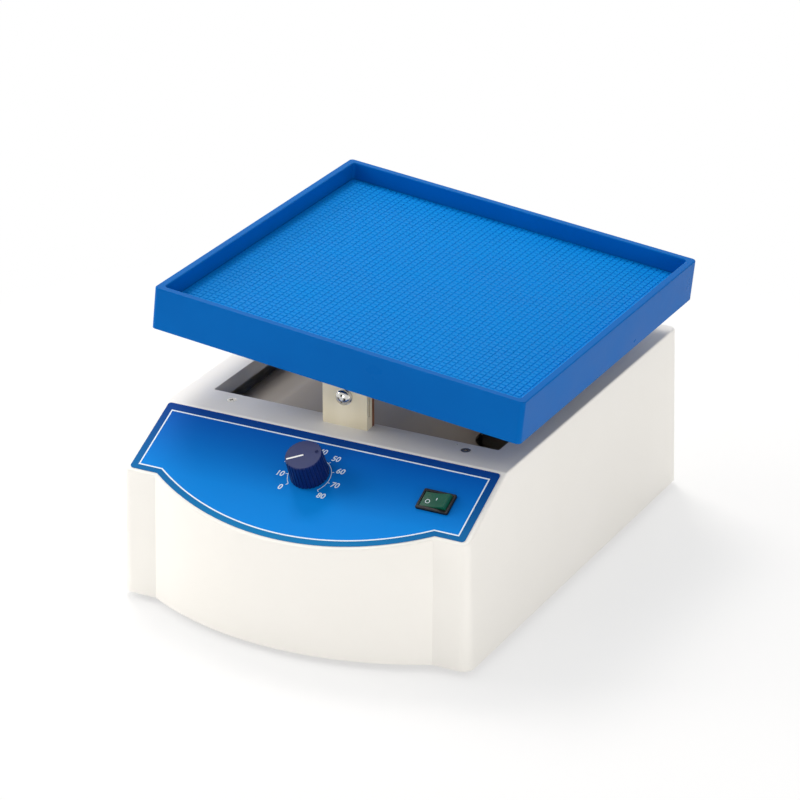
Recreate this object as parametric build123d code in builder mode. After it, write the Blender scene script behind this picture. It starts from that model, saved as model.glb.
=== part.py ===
from build123d import *
import os
from math import atan2, cos, degrees, hypot, radians, sin, tan

os.makedirs("parts", exist_ok=True)

# Bench rocking shaker: a moulded casing with a sloped control panel, and above it a square tray
# that rocks from side to side on two pivot blocks, driven by a gear motor, a crank and a rod.
# X runs to the right along the front, -Y points at the user and +Z is up. The origin lies on the
# bench, in the middle of the four feet. Lengths are in millimetres and angles in degrees.

# Casing
deck_width = 230.0
deck_depth = 247.0
case_height = 106.0
foot_lift = 4.0
crease_y = -95.0
slope_run = 51.0
slope_drop = 25.0
corner_tab = 22.0
bulge_depth = 24.5
case_draft = 1.5
case_corner = 4.0
case_edge = 1.2
case_wall = 3.0

# Opening in the deck, its lip, and the steel pan sunk under it
opening_width = 194.0
opening_depth = 189.0
opening_margin = 26.0
opening_corner = 1.5
lip_depth = 10.0
lip_wall = 2.0
pan_drop = 15.0
pan_sheet = 1.5
pan_bend = 2.0
pan_side_gap = 2.0
pan_lip_gap = 0.5
pan_flange = 15.0
notch_reach = 33.0
notch_length = 134.0
notch_corner = 16.0

# Pivot blocks on the deck margins
tilt = 6.0
pivot_rise = 19.5
block_setback = 14.8
block_width = 30.0
block_height = 28.0
block_front_leg = 2.1
block_slot = 1.8
block_rear_leg = 2.4
block_slot_floor = 7.8
block_edge = 0.4
nut_plate = 3.0
nut_plate_height = 27.0
pivot_screw_radius = 2.5
pivot_screw_length = 12.0
pivot_head_radius = 4.8
pivot_head_height = 3.4
pivot_washer_radius = 5.3
pivot_washer = 1.0
pivot_sleeve_radius = 3.6
block_screw_spacing = 20.0
block_screw_reach = 5.0

# Screws in three sizes
small_shank_radius = 1.5
small_head_radius = 2.8
small_head_height = 1.9
medium_shank_radius = 2.0
medium_head_radius = 3.8
medium_head_height = 2.3
head_rim_share = 0.45
head_shoulder_share = 0.7
head_shoulder_rise_share = 0.8
recess_span_share = 1.1
recess_slot_share = 0.26
recess_depth_share = 0.36

# Deck screws, their weld nuts and the small drilled hole beside one of them
deck_screw_spacing = 159.0
deck_screw_setback = 17.4
countersunk_radius = 3.0
weld_nut_radius = 3.2
weld_nut_height = 2.4
pilot_hole_radius = 0.8
pilot_hole_x = 71.3
pilot_hole_setback = 22.0

# Tray, mat and the steel cross that carries them, in the tray's own level frame
tray_width = 248.0
tray_depth = 251.0
tray_height = 27.0
tray_rim_rise = 42.5
tray_rim = 4.8
tray_skirt = 3.0
tray_floor_drop = 13.0
tray_floor = 2.5
tray_corner = 3.0
tray_edge = 0.8
tray_inner_corner = 2.0
mat_thickness = 1.5
mat_gap = 0.3
rib_height = 6.0
rib_wall = 1.6
long_ribs = 5
cross_ribs = 4
tray_boss_radius = 5.0
carrier_sheet = 1.2
spine_width = 44.0
arm_width = 60.0
arm_reach = 98.0
cross_fillet = 12.0
carrier_flange = 3.6
carrier_bend = 3.0
carrier_corner = 6.0
tongue_width = 24.0
tongue_tip_radius = 7.0
tongue_shoulder = 12.0
arm_screw_x = 88.0
arm_screw_y = 22.0
spine_screw_y = 84.0
tray_screw_bite = 6.8

# Lug under the tray, connecting rod and bearing
lug_x = 82.0
lug_pin_drop = 8.5
lug_sheet = 1.5
lug_length = 20.0
lug_tip = 6.0
lug_pin_radius = 2.5
lug_pin_head_radius = 4.0
lug_pin_head = 1.5
lug_clip_radius = 4.4
lug_clip = 0.7
lug_clip_bite = 0.5
lug_rivet_radius = 1.6
lug_rivet_head_radius = 2.6
lug_rivet_head = 1.0
lug_rivet_spacing = 14.0
rod_thickness = 7.0
rod_small_eye = 6.0
rod_big_eye = 13.0
rod_shank = 8.0
rod_side_gap = 0.5
rod_pocket = 1.6
rod_rib = 1.8
rod_web_fillet = 8.0
rod_bush_radius = 3.6
bearing_radius = 9.5
bearing_outer_race = 7.6
bearing_inner_race = 4.6
bearing_width = 6.0
bearing_lip = 0.9
ball_radius = 1.75
ball_count = 7
crank_pin_radius = 3.0
crank_pin_head_radius = 5.0
crank_pin_head = 4.0
crank_pin_hole_radius = 2.1
crank_pin_edge = 0.6
hex_key_radius = 2.3

# Crank, gear motor and its bracket
crank_z = 68.0
crank_radius = 17.0
crank_thickness = 9.0
crank_side_gap = 1.5
crank_edge = 0.8
set_screw_length = 8.0
shaft_radius = 3.0
shaft_flat = 0.5
shaft_recess = 1.0
shaft_engagement = 16.0
gearbox_radius = 18.5
gearbox_length = 26.0
gearbox_boss_radius = 6.0
gearbox_boss = 4.0
gearbox_offset = 7.0
gearbox_screw_circle = 15.0
gearbox_screw_count = 3
gearbox_screw_turn = 30.0
gearbox_screw_bite = 5.0
gearbox_edge = 1.0
motor_radius = 17.2
motor_length = 34.0
motor_boss_radius = 5.0
motor_boss = 3.0
motor_tab_spacing = 20.0
motor_tab_width = 4.0
motor_tab_sheet = 0.8
bracket_sheet = 2.5
bracket_gap = 2.5
bracket_foot = 26.0
bracket_foot_width = 30.0
bracket_overhang = 3.0
bracket_screw_spacing = 16.0

# Control panel: overlay, knob and switch, placed down the slope from the deck crease
overlay_side = 3.0
overlay_top = 2.0
overlay_bottom = 1.6
overlay_thickness = 0.5
overlay_corner = 2.0
control_drop = 32.0
knob_height = 17.0
knob_lift = 1.2
knob_radius = 12.0
knob_taper = 2.5
knob_flutes = 32
knob_flute_radius = 0.5
knob_edge = 0.7
knob_bore = 13.0
knob_skirt_radius = 7.0
knob_skirt_depth = 4.0
pointer_width = 1.1
pointer_length = 10.4
pointer_depth = 0.4
dimple_radius = 1.3
dimple_reach = 8.2
dimple_depth = 0.8
pointer_at_rest = -123.0
pot_shaft_radius = 3.0
pot_bush_radius = 3.6
pot_bush_height = 3.6
pot_radius = 8.2
pot_depth = 9.0
pot_tag_reach = 10.0
pot_nut_radius = 5.6
pot_nut = 2.0
knob_screw_height = 6.5
knob_screw_length = 6.0
switch_x = 83.6
switch_width = 21.0
switch_height = 15.0
switch_bezel = 2.2
switch_corner = 1.0
switch_edge = 0.5
switch_tab_spacing_x = 9.0
switch_tab_spacing_y = 6.6
switch_tab_width = 4.8
switch_tab_sheet = 0.8
switch_tab_length = 8.0
switch_body_width = 19.2
switch_body_height = 12.8
switch_body_depth = 17.0
rocker_radius = 8.7
rocker_width = 10.6
rocker_pivot_rise = 0.6
rocker_corner_angle = 18.5
rocker_foot_angle = 25.0
rocker_dip = 0.9
rocker_angle = 10.0
rocker_pin_radius = 1.2
rocker_pin_reach = 0.6

# Mains inlet with its fuse drawer, on the back wall
inlet_x = -68.0
inlet_z = 44.0
inlet_flange_width = 50.0
inlet_flange_height = 34.0
inlet_flange = 3.0
inlet_flange_corner = 3.0
inlet_body_width = 29.0
inlet_body_height = 30.0
inlet_body_depth = 28.0
socket_width = 24.4
socket_height = 16.4
socket_corner = 4.0
socket_depth = 16.0
socket_rise = 5.0
inlet_screw_spacing = 40.0
pin_spacing = 14.0
pin_stagger = 4.0
pin_width = 2.0
pin_height = 4.0
pin_reach = 14.0
pin_tail = 7.0
drawer_width = 17.6
drawer_height = 7.2
drawer_depth = 23.0
drawer_drop = 10.0
drawer_front = 1.6
drawer_lip = 0.8
drawer_grip_width = 10.0
drawer_grip_height = 2.0
drawer_wall = 1.0
fuse_radius = 2.5
fuse_cap = 5.0
fuse_waist = 0.2
fuse_length = 20.0

# Base plate, feet, and what stands on the plate
plate_sheet = 1.5
plate_recess = 0.5
plate_gap = 0.5
post_radius = 4.5
post_inset = 9.0
post_rib = 2.0
post_screw_bite = 9.0
foot_radius = 10.0
foot_taper = 1.0
foot_x = 86.0
foot_y = 125.0
foot_screw_seat = 2.7
foot_recess_gap = 0.7
nut_flats_radius = 3.9
nut_height = 3.2
board_length = 90.0
board_width = 54.0
board_thickness = 1.6
board_x = -12.0
board_y = -96.0
board_screw_inset = 4.0
standoff_height = 8.0
standoff_radius = 3.2
capacitor_radius = 8.0
capacitor_height = 22.0
capacitor_shift = 26.0
capacitor_edge = 1.0
sink_length = 34.0
sink_fins = 6
sink_fin = 1.2
sink_height = 24.0
sink_depth = 14.0
sink_shift = 18.0
terminal_ways = 6
terminal_pitch = 5.0
terminal_height = 9.0
terminal_depth = 8.0
terminal_hole_radius = 1.6
core_width = 57.0
core_height = 48.0
core_stack = 26.0
core_leg = 9.5
core_x = -62.0
core_y = 30.0
coil_overhang = 9.0
coil_corner = 5.0
strap_sheet = 1.0
strap_ear = 11.0
vent_count = 9
vent_pitch = 7.0
vent_width = 2.6
vent_length = 26.0
back_vent_x = 52.0
back_vent_z = 48.0
plate_vent_x = 30.0
plate_vent_y = 40.0

# Fits
running_gap = 0.05
hole_gap = 0.2
moving_gap = 0.3

# Places worked out from the sizes above
deck_top = foot_lift + case_height
deck_under = deck_top - case_wall
back_y = crease_y + deck_depth
tab_y = crease_y - slope_run
half_width = deck_width / 2
flare = tan(radians(case_draft))
slope_angle = degrees(atan2(slope_drop, slope_run))
slope_length = hypot(slope_run, slope_drop)
opening_front = crease_y + opening_margin
tray_y = opening_front + opening_depth / 2
pan_top = deck_top - pan_drop
pan_under = pan_top - pan_sheet
pivot_z = deck_top + pivot_rise
plate_under = foot_lift + plate_recess
plate_top = plate_under + plate_sheet
block_depth = block_front_leg + block_slot + block_rear_leg
block_mid = block_setback + block_depth / 2
slot_mid = block_setback + block_front_leg + block_slot / 2

slope_plane = Plane(
    origin=(0, crease_y, deck_top),
    x_dir=(1, 0, 0),
    z_dir=(0, -sin(radians(slope_angle)), cos(radians(slope_angle))),
)
# Each margin frame lies on the deck with its y pointing in to the tray's centre line
front_margin = Plane(origin=(0, crease_y, deck_top), x_dir=(1, 0, 0), z_dir=(0, 0, 1))
rear_margin = Plane(origin=(0, 2 * tray_y - crease_y, deck_top), x_dir=(-1, 0, 0), z_dir=(0, 0, 1))
# The tray's frame turns with it about the line through both pivot screws
tray_frame = Plane(
    origin=(0, tray_y, pivot_z),
    x_dir=(cos(radians(tilt)), 0, -sin(radians(tilt))),
    z_dir=(sin(radians(tilt)), 0, cos(radians(tilt))),
)
inlet_frame = Plane(
    origin=(inlet_x, back_y + flare * (deck_top - inlet_z), inlet_z),
    x_dir=(-1, 0, 0),
    z_dir=(0, cos(radians(case_draft)), sin(radians(case_draft))),
)


def on_slope(x, drop, rise=0):
    """Frame on the control panel, x across, drop down the slope and rise above it."""
    return Plane(
        origin=slope_plane.from_local_coords(Vector(x, -drop, rise)),
        x_dir=slope_plane.x_dir,
        z_dir=slope_plane.z_dir,
    )


def turned(plane, angle):
    """The same frame turned anticlockwise about its own normal."""
    return Plane(
        origin=plane.origin,
        x_dir=plane.x_dir.rotate(Axis((0, 0, 0), plane.z_dir), angle),
        z_dir=plane.z_dir,
    )


def finish(builder, name):
    """Label a finished piece and write it out under its name."""
    builder.part.label = name
    export_step(builder.part, f"parts/{name}.step")
    print(name, len(builder.part.solids()), round(builder.part.volume, 1))


def corners(x, y):
    """The four places at plus and minus x and y."""
    return [(sx * x, sy * y) for sx in (-1, 1) for sy in (-1, 1)]


def casing_outline(inset, level):
    """Plan of the casing at a height, drawn in by the inset: back, sides, corner tabs and bulge."""
    bulge_x = half_width - corner_tab
    with BuildSketch() as plan:
        with BuildLine():
            Polyline(
                (-bulge_x, tab_y),
                (-half_width, tab_y),
                (-half_width, back_y),
                (half_width, back_y),
                (half_width, tab_y),
                (bulge_x, tab_y),
            )
            SagittaArc((bulge_x, tab_y), (-bulge_x, tab_y), bulge_depth)
        make_face()
        fillet(plan.vertices().filter_by(lambda v: abs(v.X) > bulge_x + corner_tab / 2), case_corner)
        grow = flare * (deck_top - level) - inset
        if abs(grow) > 0.001:
            offset(amount=grow, kind=Kind.INTERSECTION, mode=Mode.REPLACE)
    return plan.sketch


def cross_screw(shank_radius, shank_length, head_radius, head_height, countersunk=False):
    """Cross-recessed screw: the head sits on Z 0, or is flush with it, and the shank points down."""
    with BuildPart() as screw:
        with BuildSketch(Plane.XZ):
            with BuildLine():
                if countersunk:
                    Line((0, 0), (head_radius, 0))
                    Line((head_radius, 0), (shank_radius, shank_radius - head_radius))
                    Line((shank_radius, shank_radius - head_radius), (shank_radius, -shank_length))
                else:
                    rim = head_height * head_rim_share
                    shoulder = (head_radius * head_shoulder_share, head_height * head_shoulder_rise_share)
                    ThreePointArc((0, head_height), shoulder, (head_radius, rim))
                    Line((head_radius, rim), (head_radius, 0))
                    Line((head_radius, 0), (shank_radius, 0))
                    Line((shank_radius, 0), (shank_radius, -shank_length))
                Line((shank_radius, -shank_length), (0, -shank_length))
                Line((0, -shank_length), (0, 0 if countersunk else head_height))
            make_face()
        revolve(axis=Axis.Z)
        with BuildSketch(Plane.XY.offset(0 if countersunk else head_height)):
            Rectangle(head_radius * recess_span_share, head_radius * recess_slot_share)
            Rectangle(head_radius * recess_slot_share, head_radius * recess_span_share)
        extrude(amount=-head_radius * recess_depth_share, mode=Mode.SUBTRACT)
    return screw.part


def plain_screw(shank_radius, shank_length, head_radius, head_height):
    """Screw inside the machine: the head sits on Z 0 and the shank points down."""
    with BuildPart() as screw:
        Cylinder(head_radius, head_height, align=(Align.CENTER, Align.CENTER, Align.MIN))
        Cylinder(shank_radius, shank_length, align=(Align.CENTER, Align.CENTER, Align.MAX))
    return screw.part


# Casing: one moulding with a flat deck, a sloped panel and a bulged front. Its cavity follows the
# outside at wall thickness, and four ribbed posts for the base plate run down the corners.
post_x = half_width - post_inset
post_places = [(x, y) for x in (-post_x, post_x) for y in (tab_y + post_inset, back_y - post_inset)]
deck_screw_places = [(x, deck_screw_setback) for x in (-deck_screw_spacing / 2, deck_screw_spacing / 2)]
block_screw_places = [(x, block_mid) for x in (-block_screw_spacing / 2, block_screw_spacing / 2)]

with BuildPart() as casing_block:
    with BuildSketch(Plane.XY.offset(deck_top)):
        add(casing_outline(0, deck_top))
    extrude(amount=-case_height, taper=-case_draft)
    split(bisect_by=slope_plane, keep=Keep.BOTTOM)
    deck_face = casing_block.faces().sort_by(Axis.Z)[-1]
    slope_face = casing_block.faces().filter_by(
        lambda face: face.normal_at().dot(slope_plane.z_dir) > 0.9999
    )[0]
    fillet(ShapeList({*deck_face.edges(), *slope_face.edges()}), case_edge)

with BuildPart() as casing_cavity:
    with BuildSketch(Plane.XY.offset(deck_under)):
        add(casing_outline(case_wall, deck_under))
    extrude(amount=foot_lift - deck_under, taper=-case_draft)
    split(bisect_by=slope_plane.offset(-case_wall), keep=Keep.BOTTOM)

with BuildPart() as casing_posts:
    with BuildSketch(Plane.XY.offset(plate_top)):
        with Locations(*post_places):
            Circle(post_radius)
        for x, y in post_places:
            with Locations((x + (post_inset if x > 0 else -post_inset), y)):
                Rectangle(2 * post_inset, post_rib)
    extrude(amount=deck_top - plate_top)
    add(casing_block.part, mode=Mode.INTERSECT)

with BuildPart() as housing_shell:
    add(casing_block.part)
    add(casing_cavity.part, mode=Mode.SUBTRACT)
    add(casing_posts.part)
    with BuildSketch(Plane.XY.offset(deck_under)):
        with Locations((0, tray_y)):
            Rectangle(opening_width + 2 * lip_wall, opening_depth + 2 * lip_wall)
    extrude(amount=case_wall - lip_depth)
    with BuildSketch(Plane.XY.offset(deck_top)):
        with Locations((0, tray_y)):
            RectangleRounded(opening_width, opening_depth, opening_corner)
    extrude(amount=-lip_depth, mode=Mode.SUBTRACT)
    with BuildSketch(on_slope(0, control_drop)):
        Circle(pot_bush_radius + hole_gap)
        with Locations((switch_x, 0)):
            Rectangle(switch_body_width + 2 * hole_gap, switch_body_height + 2 * hole_gap)
    extrude(amount=-2 * case_wall, mode=Mode.SUBTRACT)
    for margin in (front_margin, rear_margin):
        with Locations(margin):
            with Locations(*deck_screw_places):
                CounterSinkHole(small_shank_radius + hole_gap, countersunk_radius + hole_gap, depth=case_wall)
            with Locations(*block_screw_places):
                Hole(small_shank_radius + hole_gap, depth=case_wall)
    with Locations((pilot_hole_x, crease_y + pilot_hole_setback, deck_top)):
        Hole(pilot_hole_radius, depth=case_wall)
    with Locations(*[Location((x, y, plate_top), (180, 0, 0)) for x, y in post_places]):
        Hole(small_shank_radius + running_gap, depth=post_screw_bite)
    with BuildSketch(inlet_frame):
        Rectangle(inlet_body_width + 2 * hole_gap, inlet_body_height + 2 * hole_gap)
        with GridLocations(inlet_screw_spacing, 1, 2, 1):
            Circle(small_shank_radius + hole_gap)
        with Locations((inlet_x - back_vent_x, back_vent_z - inlet_z)):
            with GridLocations(vent_pitch, 1, vent_count, 1):
                SlotOverall(vent_length, vent_width, rotation=90)
    extrude(amount=-2 * case_wall, mode=Mode.SUBTRACT)
finish(housing_shell, "housing_shell")

# Chassis pan: one bent sheet sunk under the opening, hung from the deck by its two flanges. A
# notch in its right side lets the connecting rod through.
pan_wall_y = opening_depth / 2 + lip_wall + pan_lip_gap + pan_sheet / 2
pan_width = opening_width - 2 * pan_side_gap
bracket_x = pan_width / 2 - notch_reach - bracket_foot_width / 2
bracket_y = tray_y + rod_thickness / 2 + crank_side_gap + crank_thickness + bracket_gap
bracket_screw_places = [
    (bracket_x + side * bracket_screw_spacing / 2, bracket_y + bracket_foot * 2 / 3) for side in (-1, 1)
]
with BuildPart() as chassis_pan:
    with BuildSketch(Plane(origin=(0, tray_y, 0), x_dir=(0, 1, 0), z_dir=(1, 0, 0))):
        with BuildLine() as bend_line:
            FilletPolyline(
                (-pan_wall_y - pan_flange, deck_under - pan_sheet / 2),
                (-pan_wall_y, deck_under - pan_sheet / 2),
                (-pan_wall_y, pan_top - pan_sheet / 2),
                (pan_wall_y, pan_top - pan_sheet / 2),
                (pan_wall_y, deck_under - pan_sheet / 2),
                (pan_wall_y + pan_flange, deck_under - pan_sheet / 2),
                radius=pan_bend,
            )
        trace(line_width=pan_sheet)
    extrude(amount=pan_width / 2, both=True)
    with BuildSketch(Plane.XY.offset(pan_top)):
        with Locations((pan_width / 2, tray_y)):
            RectangleRounded(2 * notch_reach, notch_length, notch_corner)
    extrude(amount=-pan_sheet, mode=Mode.SUBTRACT)
    for margin in (front_margin, rear_margin):
        with Locations(margin.offset(-case_wall)):
            with Locations(*deck_screw_places, *block_screw_places):
                Hole(small_shank_radius + hole_gap, depth=pan_sheet)
    with BuildSketch(Plane.XY.offset(pan_top)):
        with Locations(*bracket_screw_places):
            Circle(small_shank_radius + hole_gap)
    extrude(amount=-pan_sheet, mode=Mode.SUBTRACT)
    for margin in (front_margin, rear_margin):
        with BuildSketch(margin.offset(-case_wall - pan_sheet)):
            with Locations(*deck_screw_places):
                RegularPolygon(weld_nut_radius, 6)
                Circle(small_shank_radius + running_gap, mode=Mode.SUBTRACT)
        extrude(amount=-weld_nut_height)
finish(chassis_pan, "chassis_pan")

# Deck screws: countersunk, flush with the deck, turned into the pan's weld nuts
with BuildPart() as deck_screws:
    for margin in (front_margin, rear_margin):
        with Locations(margin):
            with Locations(*deck_screw_places):
                add(
                    cross_screw(
                        small_shank_radius,
                        case_wall + pan_sheet + weld_nut_height,
                        countersunk_radius,
                        small_head_height,
                        countersunk=True,
                    )
                )
finish(deck_screws, "deck_screws")

# Pivot blocks: moulded clevises that stand on the deck margins and hold the tray's two tongues
for block_name, margin in (("front_pivot_block", front_margin), ("rear_pivot_block", rear_margin)):
    block_face = Plane(
        origin=margin.from_local_coords(Vector(0, block_setback, 0)), x_dir=margin.x_dir, z_dir=-margin.y_dir
    )
    with BuildPart() as pivot_block:
        with BuildSketch(block_face):
            with Locations((0, block_height / 2)):
                Rectangle(block_width, block_height)
            with Locations((0, pivot_rise)):
                Circle(pivot_screw_radius + hole_gap, mode=Mode.SUBTRACT)
        extrude(amount=-block_depth)
        chamfer(pivot_block.edges().filter_by(GeomType.LINE).group_by(Axis.Z)[-1], block_edge)
        with BuildSketch(block_face.offset(-block_front_leg)):
            with Locations((0, (block_height + block_slot_floor) / 2)):
                Rectangle(block_width, block_height - block_slot_floor)
        extrude(amount=-block_slot, mode=Mode.SUBTRACT)
        with BuildSketch(margin):
            with Locations(*block_screw_places):
                Circle(small_shank_radius + running_gap)
        extrude(amount=block_screw_reach + hole_gap, mode=Mode.SUBTRACT)
    finish(pivot_block, block_name)

# Tapped plates behind the blocks: each takes its pivot screw's thread
with BuildPart() as pivot_nut_plates:
    for margin in (front_margin, rear_margin):
        plate_face = Plane(
            origin=margin.from_local_coords(Vector(0, block_setback + block_depth, 0)),
            x_dir=margin.x_dir,
            z_dir=-margin.y_dir,
        )
        with BuildSketch(plate_face):
            with Locations((0, nut_plate_height / 2)):
                Rectangle(block_width, nut_plate_height)
            with Locations((0, pivot_rise)):
                Circle(pivot_screw_radius + running_gap, mode=Mode.SUBTRACT)
        extrude(amount=-nut_plate)
finish(pivot_nut_plates, "pivot_nut_plates")

# Pivot screws, each with a washer under its head and a bronze sleeve in the block's slot
screw_seat = block_setback - pivot_washer
with BuildPart() as pivot_screws:
    for margin in (front_margin, rear_margin):
        with Locations(margin):
            with Locations(Location((0, screw_seat, pivot_rise), (90, 0, 0))):
                add(cross_screw(pivot_screw_radius, pivot_screw_length, pivot_head_radius, pivot_head_height))
finish(pivot_screws, "pivot_screws")

with BuildPart() as pivot_washers:
    for margin in (front_margin, rear_margin):
        with Locations(margin):
            with Locations(Location((0, block_setback, pivot_rise), (90, 0, 0))):
                Cylinder(pivot_washer_radius, pivot_washer, align=(Align.CENTER, Align.CENTER, Align.MIN))
                Cylinder(
                    pivot_screw_radius + running_gap,
                    pivot_washer,
                    align=(Align.CENTER, Align.CENTER, Align.MIN),
                    mode=Mode.SUBTRACT,
                )
finish(pivot_washers, "pivot_washers")

with BuildPart() as pivot_sleeves:
    for margin in (front_margin, rear_margin):
        with Locations(margin):
            with Locations(Location((0, slot_mid, pivot_rise), (90, 0, 0))):
                Cylinder(pivot_sleeve_radius, block_slot)
                Cylinder(pivot_screw_radius + running_gap, block_slot, mode=Mode.SUBTRACT)
finish(pivot_sleeves, "pivot_sleeves")

# Block screws: up through the pan's flange and the deck into the foot of each block
with BuildPart() as block_screws:
    for margin in (front_margin, rear_margin):
        with Locations(margin.offset(-case_wall - pan_sheet)):
            with Locations(*[Location((x, y, 0), (180, 0, 0)) for x, y in block_screw_places]):
                add(
                    plain_screw(
                        small_shank_radius,
                        pan_sheet + case_wall + block_screw_reach,
                        small_head_radius,
                        small_head_height,
                    )
                )
finish(block_screws, "block_screws")

# Tray: a shallow square dish with a wide rim, a skirt under its floor, stiffening ribs and bosses
# for the screws of the carrier
tray_bottom = tray_rim_rise - tray_height
floor_top = tray_rim_rise - tray_floor_drop
floor_under = floor_top - tray_floor
carrier_top = floor_under - rib_height
carrier_under = carrier_top - carrier_sheet
tray_up = Axis(tray_frame.origin, tray_frame.z_dir)
tray_screw_places = corners(arm_screw_x, arm_screw_y) + [(0, -spine_screw_y), (0, spine_screw_y)]

with BuildPart() as tray_shell:
    with BuildSketch(tray_frame.offset(tray_rim_rise)):
        RectangleRounded(tray_width, tray_depth, tray_corner)
    extrude(amount=-tray_height)
    with BuildSketch(tray_frame.offset(tray_rim_rise)):
        RectangleRounded(tray_width - 2 * tray_rim, tray_depth - 2 * tray_rim, tray_inner_corner)
    extrude(amount=-tray_floor_drop, mode=Mode.SUBTRACT)
    fillet(tray_shell.faces().sort_by(tray_up)[-1].edges(), tray_edge)
    with BuildSketch(tray_frame.offset(tray_bottom)):
        RectangleRounded(tray_width - 2 * tray_skirt, tray_depth - 2 * tray_skirt, tray_inner_corner)
    extrude(amount=floor_under - tray_bottom, mode=Mode.SUBTRACT)
    with BuildSketch(tray_frame.offset(floor_under)):
        with GridLocations(tray_width / (long_ribs + 1), 0, long_ribs, 1):
            Rectangle(rib_wall, tray_depth - 2 * tray_skirt)
        with GridLocations(0, tray_depth / (cross_ribs + 1), 1, cross_ribs):
            Rectangle(tray_width - 2 * tray_skirt, rib_wall)
        with Locations(*tray_screw_places):
            Circle(tray_boss_radius)
    extrude(amount=-rib_height)
    with BuildSketch(tray_frame.offset(carrier_top)):
        with Locations(*tray_screw_places):
            Circle(medium_shank_radius + running_gap)
    extrude(amount=tray_screw_bite + hole_gap, mode=Mode.SUBTRACT)
finish(tray_shell, "tray_shell")

with BuildPart() as anti_slip_mat:
    with BuildSketch(tray_frame.offset(floor_top)):
        RectangleRounded(
            tray_width - 2 * (tray_rim + mat_gap), tray_depth - 2 * (tray_rim + mat_gap), tray_inner_corner
        )
    extrude(amount=mat_thickness)
finish(anti_slip_mat, "anti_slip_mat")

# Carrier: a pressed steel cross with turned-down edges. The ends of its spine bend down into
# tongues that hang on the pivot sleeves. One arm carries the drive lug.
tongue_y = tray_y - crease_y - slot_mid
tray_side = Plane(origin=tray_frame.origin, x_dir=tray_frame.x_dir, z_dir=(0, -1, 0))
tray_end = Plane(origin=tray_frame.origin, x_dir=(0, 1, 0), z_dir=tray_frame.x_dir)
sheet_middle = carrier_top - carrier_sheet / 2
spine_reach = tongue_y - carrier_bend

with BuildPart() as tray_carrier:
    with BuildSketch(tray_end):
        with BuildLine():
            FilletPolyline(
                (-tongue_y, tongue_shoulder),
                (-tongue_y, sheet_middle),
                (tongue_y, sheet_middle),
                (tongue_y, tongue_shoulder),
                radius=carrier_bend,
            )
        trace(line_width=carrier_sheet)
    extrude(amount=tongue_width / 2, both=True)
    for end in (-1, 1):
        with BuildSketch(tray_side.offset(end * tongue_y + carrier_sheet / 2)):
            Circle(tongue_tip_radius)
            with Locations((0, tongue_shoulder)):
                Rectangle(tongue_width, carrier_sheet)
            make_hull()
        extrude(amount=-carrier_sheet)
    with BuildSketch(tray_frame.offset(carrier_top)) as cross_plan:
        Rectangle(spine_width, 2 * spine_reach)
        Rectangle(2 * arm_reach, arm_width)
        fillet(
            cross_plan.vertices().filter_by(
                lambda v: abs(abs(v.X) - spine_width / 2) < 0.01 and abs(abs(v.Y) - arm_width / 2) < 0.01
            ),
            cross_fillet,
        )
        fillet(
            cross_plan.vertices().filter_by(
                lambda v: abs(abs(v.X) - arm_reach) < 0.01 or abs(abs(v.Y) - spine_reach) < 0.01
            ),
            carrier_corner,
        )
    extrude(amount=-carrier_sheet)
    with BuildSketch(tray_frame.offset(carrier_top)):
        add(cross_plan.sketch_local)
        offset(cross_plan.sketch_local, amount=-carrier_sheet, mode=Mode.SUBTRACT)
        Rectangle(tongue_width + 2 * carrier_bend, 2 * tongue_y, mode=Mode.SUBTRACT)
    extrude(amount=-carrier_flange)
    with BuildSketch(tray_side):
        Circle(pivot_sleeve_radius + running_gap)
    extrude(amount=tray_depth / 2, both=True, mode=Mode.SUBTRACT)
    with BuildSketch(tray_frame.offset(carrier_top)):
        with Locations(*tray_screw_places):
            Circle(medium_shank_radius + hole_gap)
        with Locations((lug_x, 0)):
            with GridLocations(lug_rivet_spacing, 0, 2, 1):
                Circle(lug_rivet_radius + running_gap)
    extrude(amount=-carrier_sheet, mode=Mode.SUBTRACT)
finish(tray_carrier, "tray_carrier")

with BuildPart() as tray_screws:
    with Locations(tray_frame.offset(carrier_under)):
        with Locations(*[Location((x, y, 0), (180, 0, 0)) for x, y in tray_screw_places]):
            add(
                plain_screw(
                    medium_shank_radius,
                    carrier_sheet + tray_screw_bite,
                    medium_head_radius,
                    medium_head_height,
                )
            )
finish(tray_screws, "tray_screws")

# Drive lug: a small sheet clevis riveted under one arm of the carrier, with its pin and clip
lug_cheek = rod_thickness / 2 + rod_side_gap + lug_sheet / 2
lug_face = lug_cheek + lug_sheet / 2
lug_pin_rise = carrier_under - lug_pin_drop
lug_side = Plane(
    origin=tray_frame.from_local_coords(Vector(lug_x, 0, lug_pin_rise)),
    x_dir=tray_side.x_dir,
    z_dir=tray_side.z_dir,
)
lug_end = Plane(origin=lug_side.origin, x_dir=tray_end.x_dir, z_dir=tray_end.z_dir)

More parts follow.
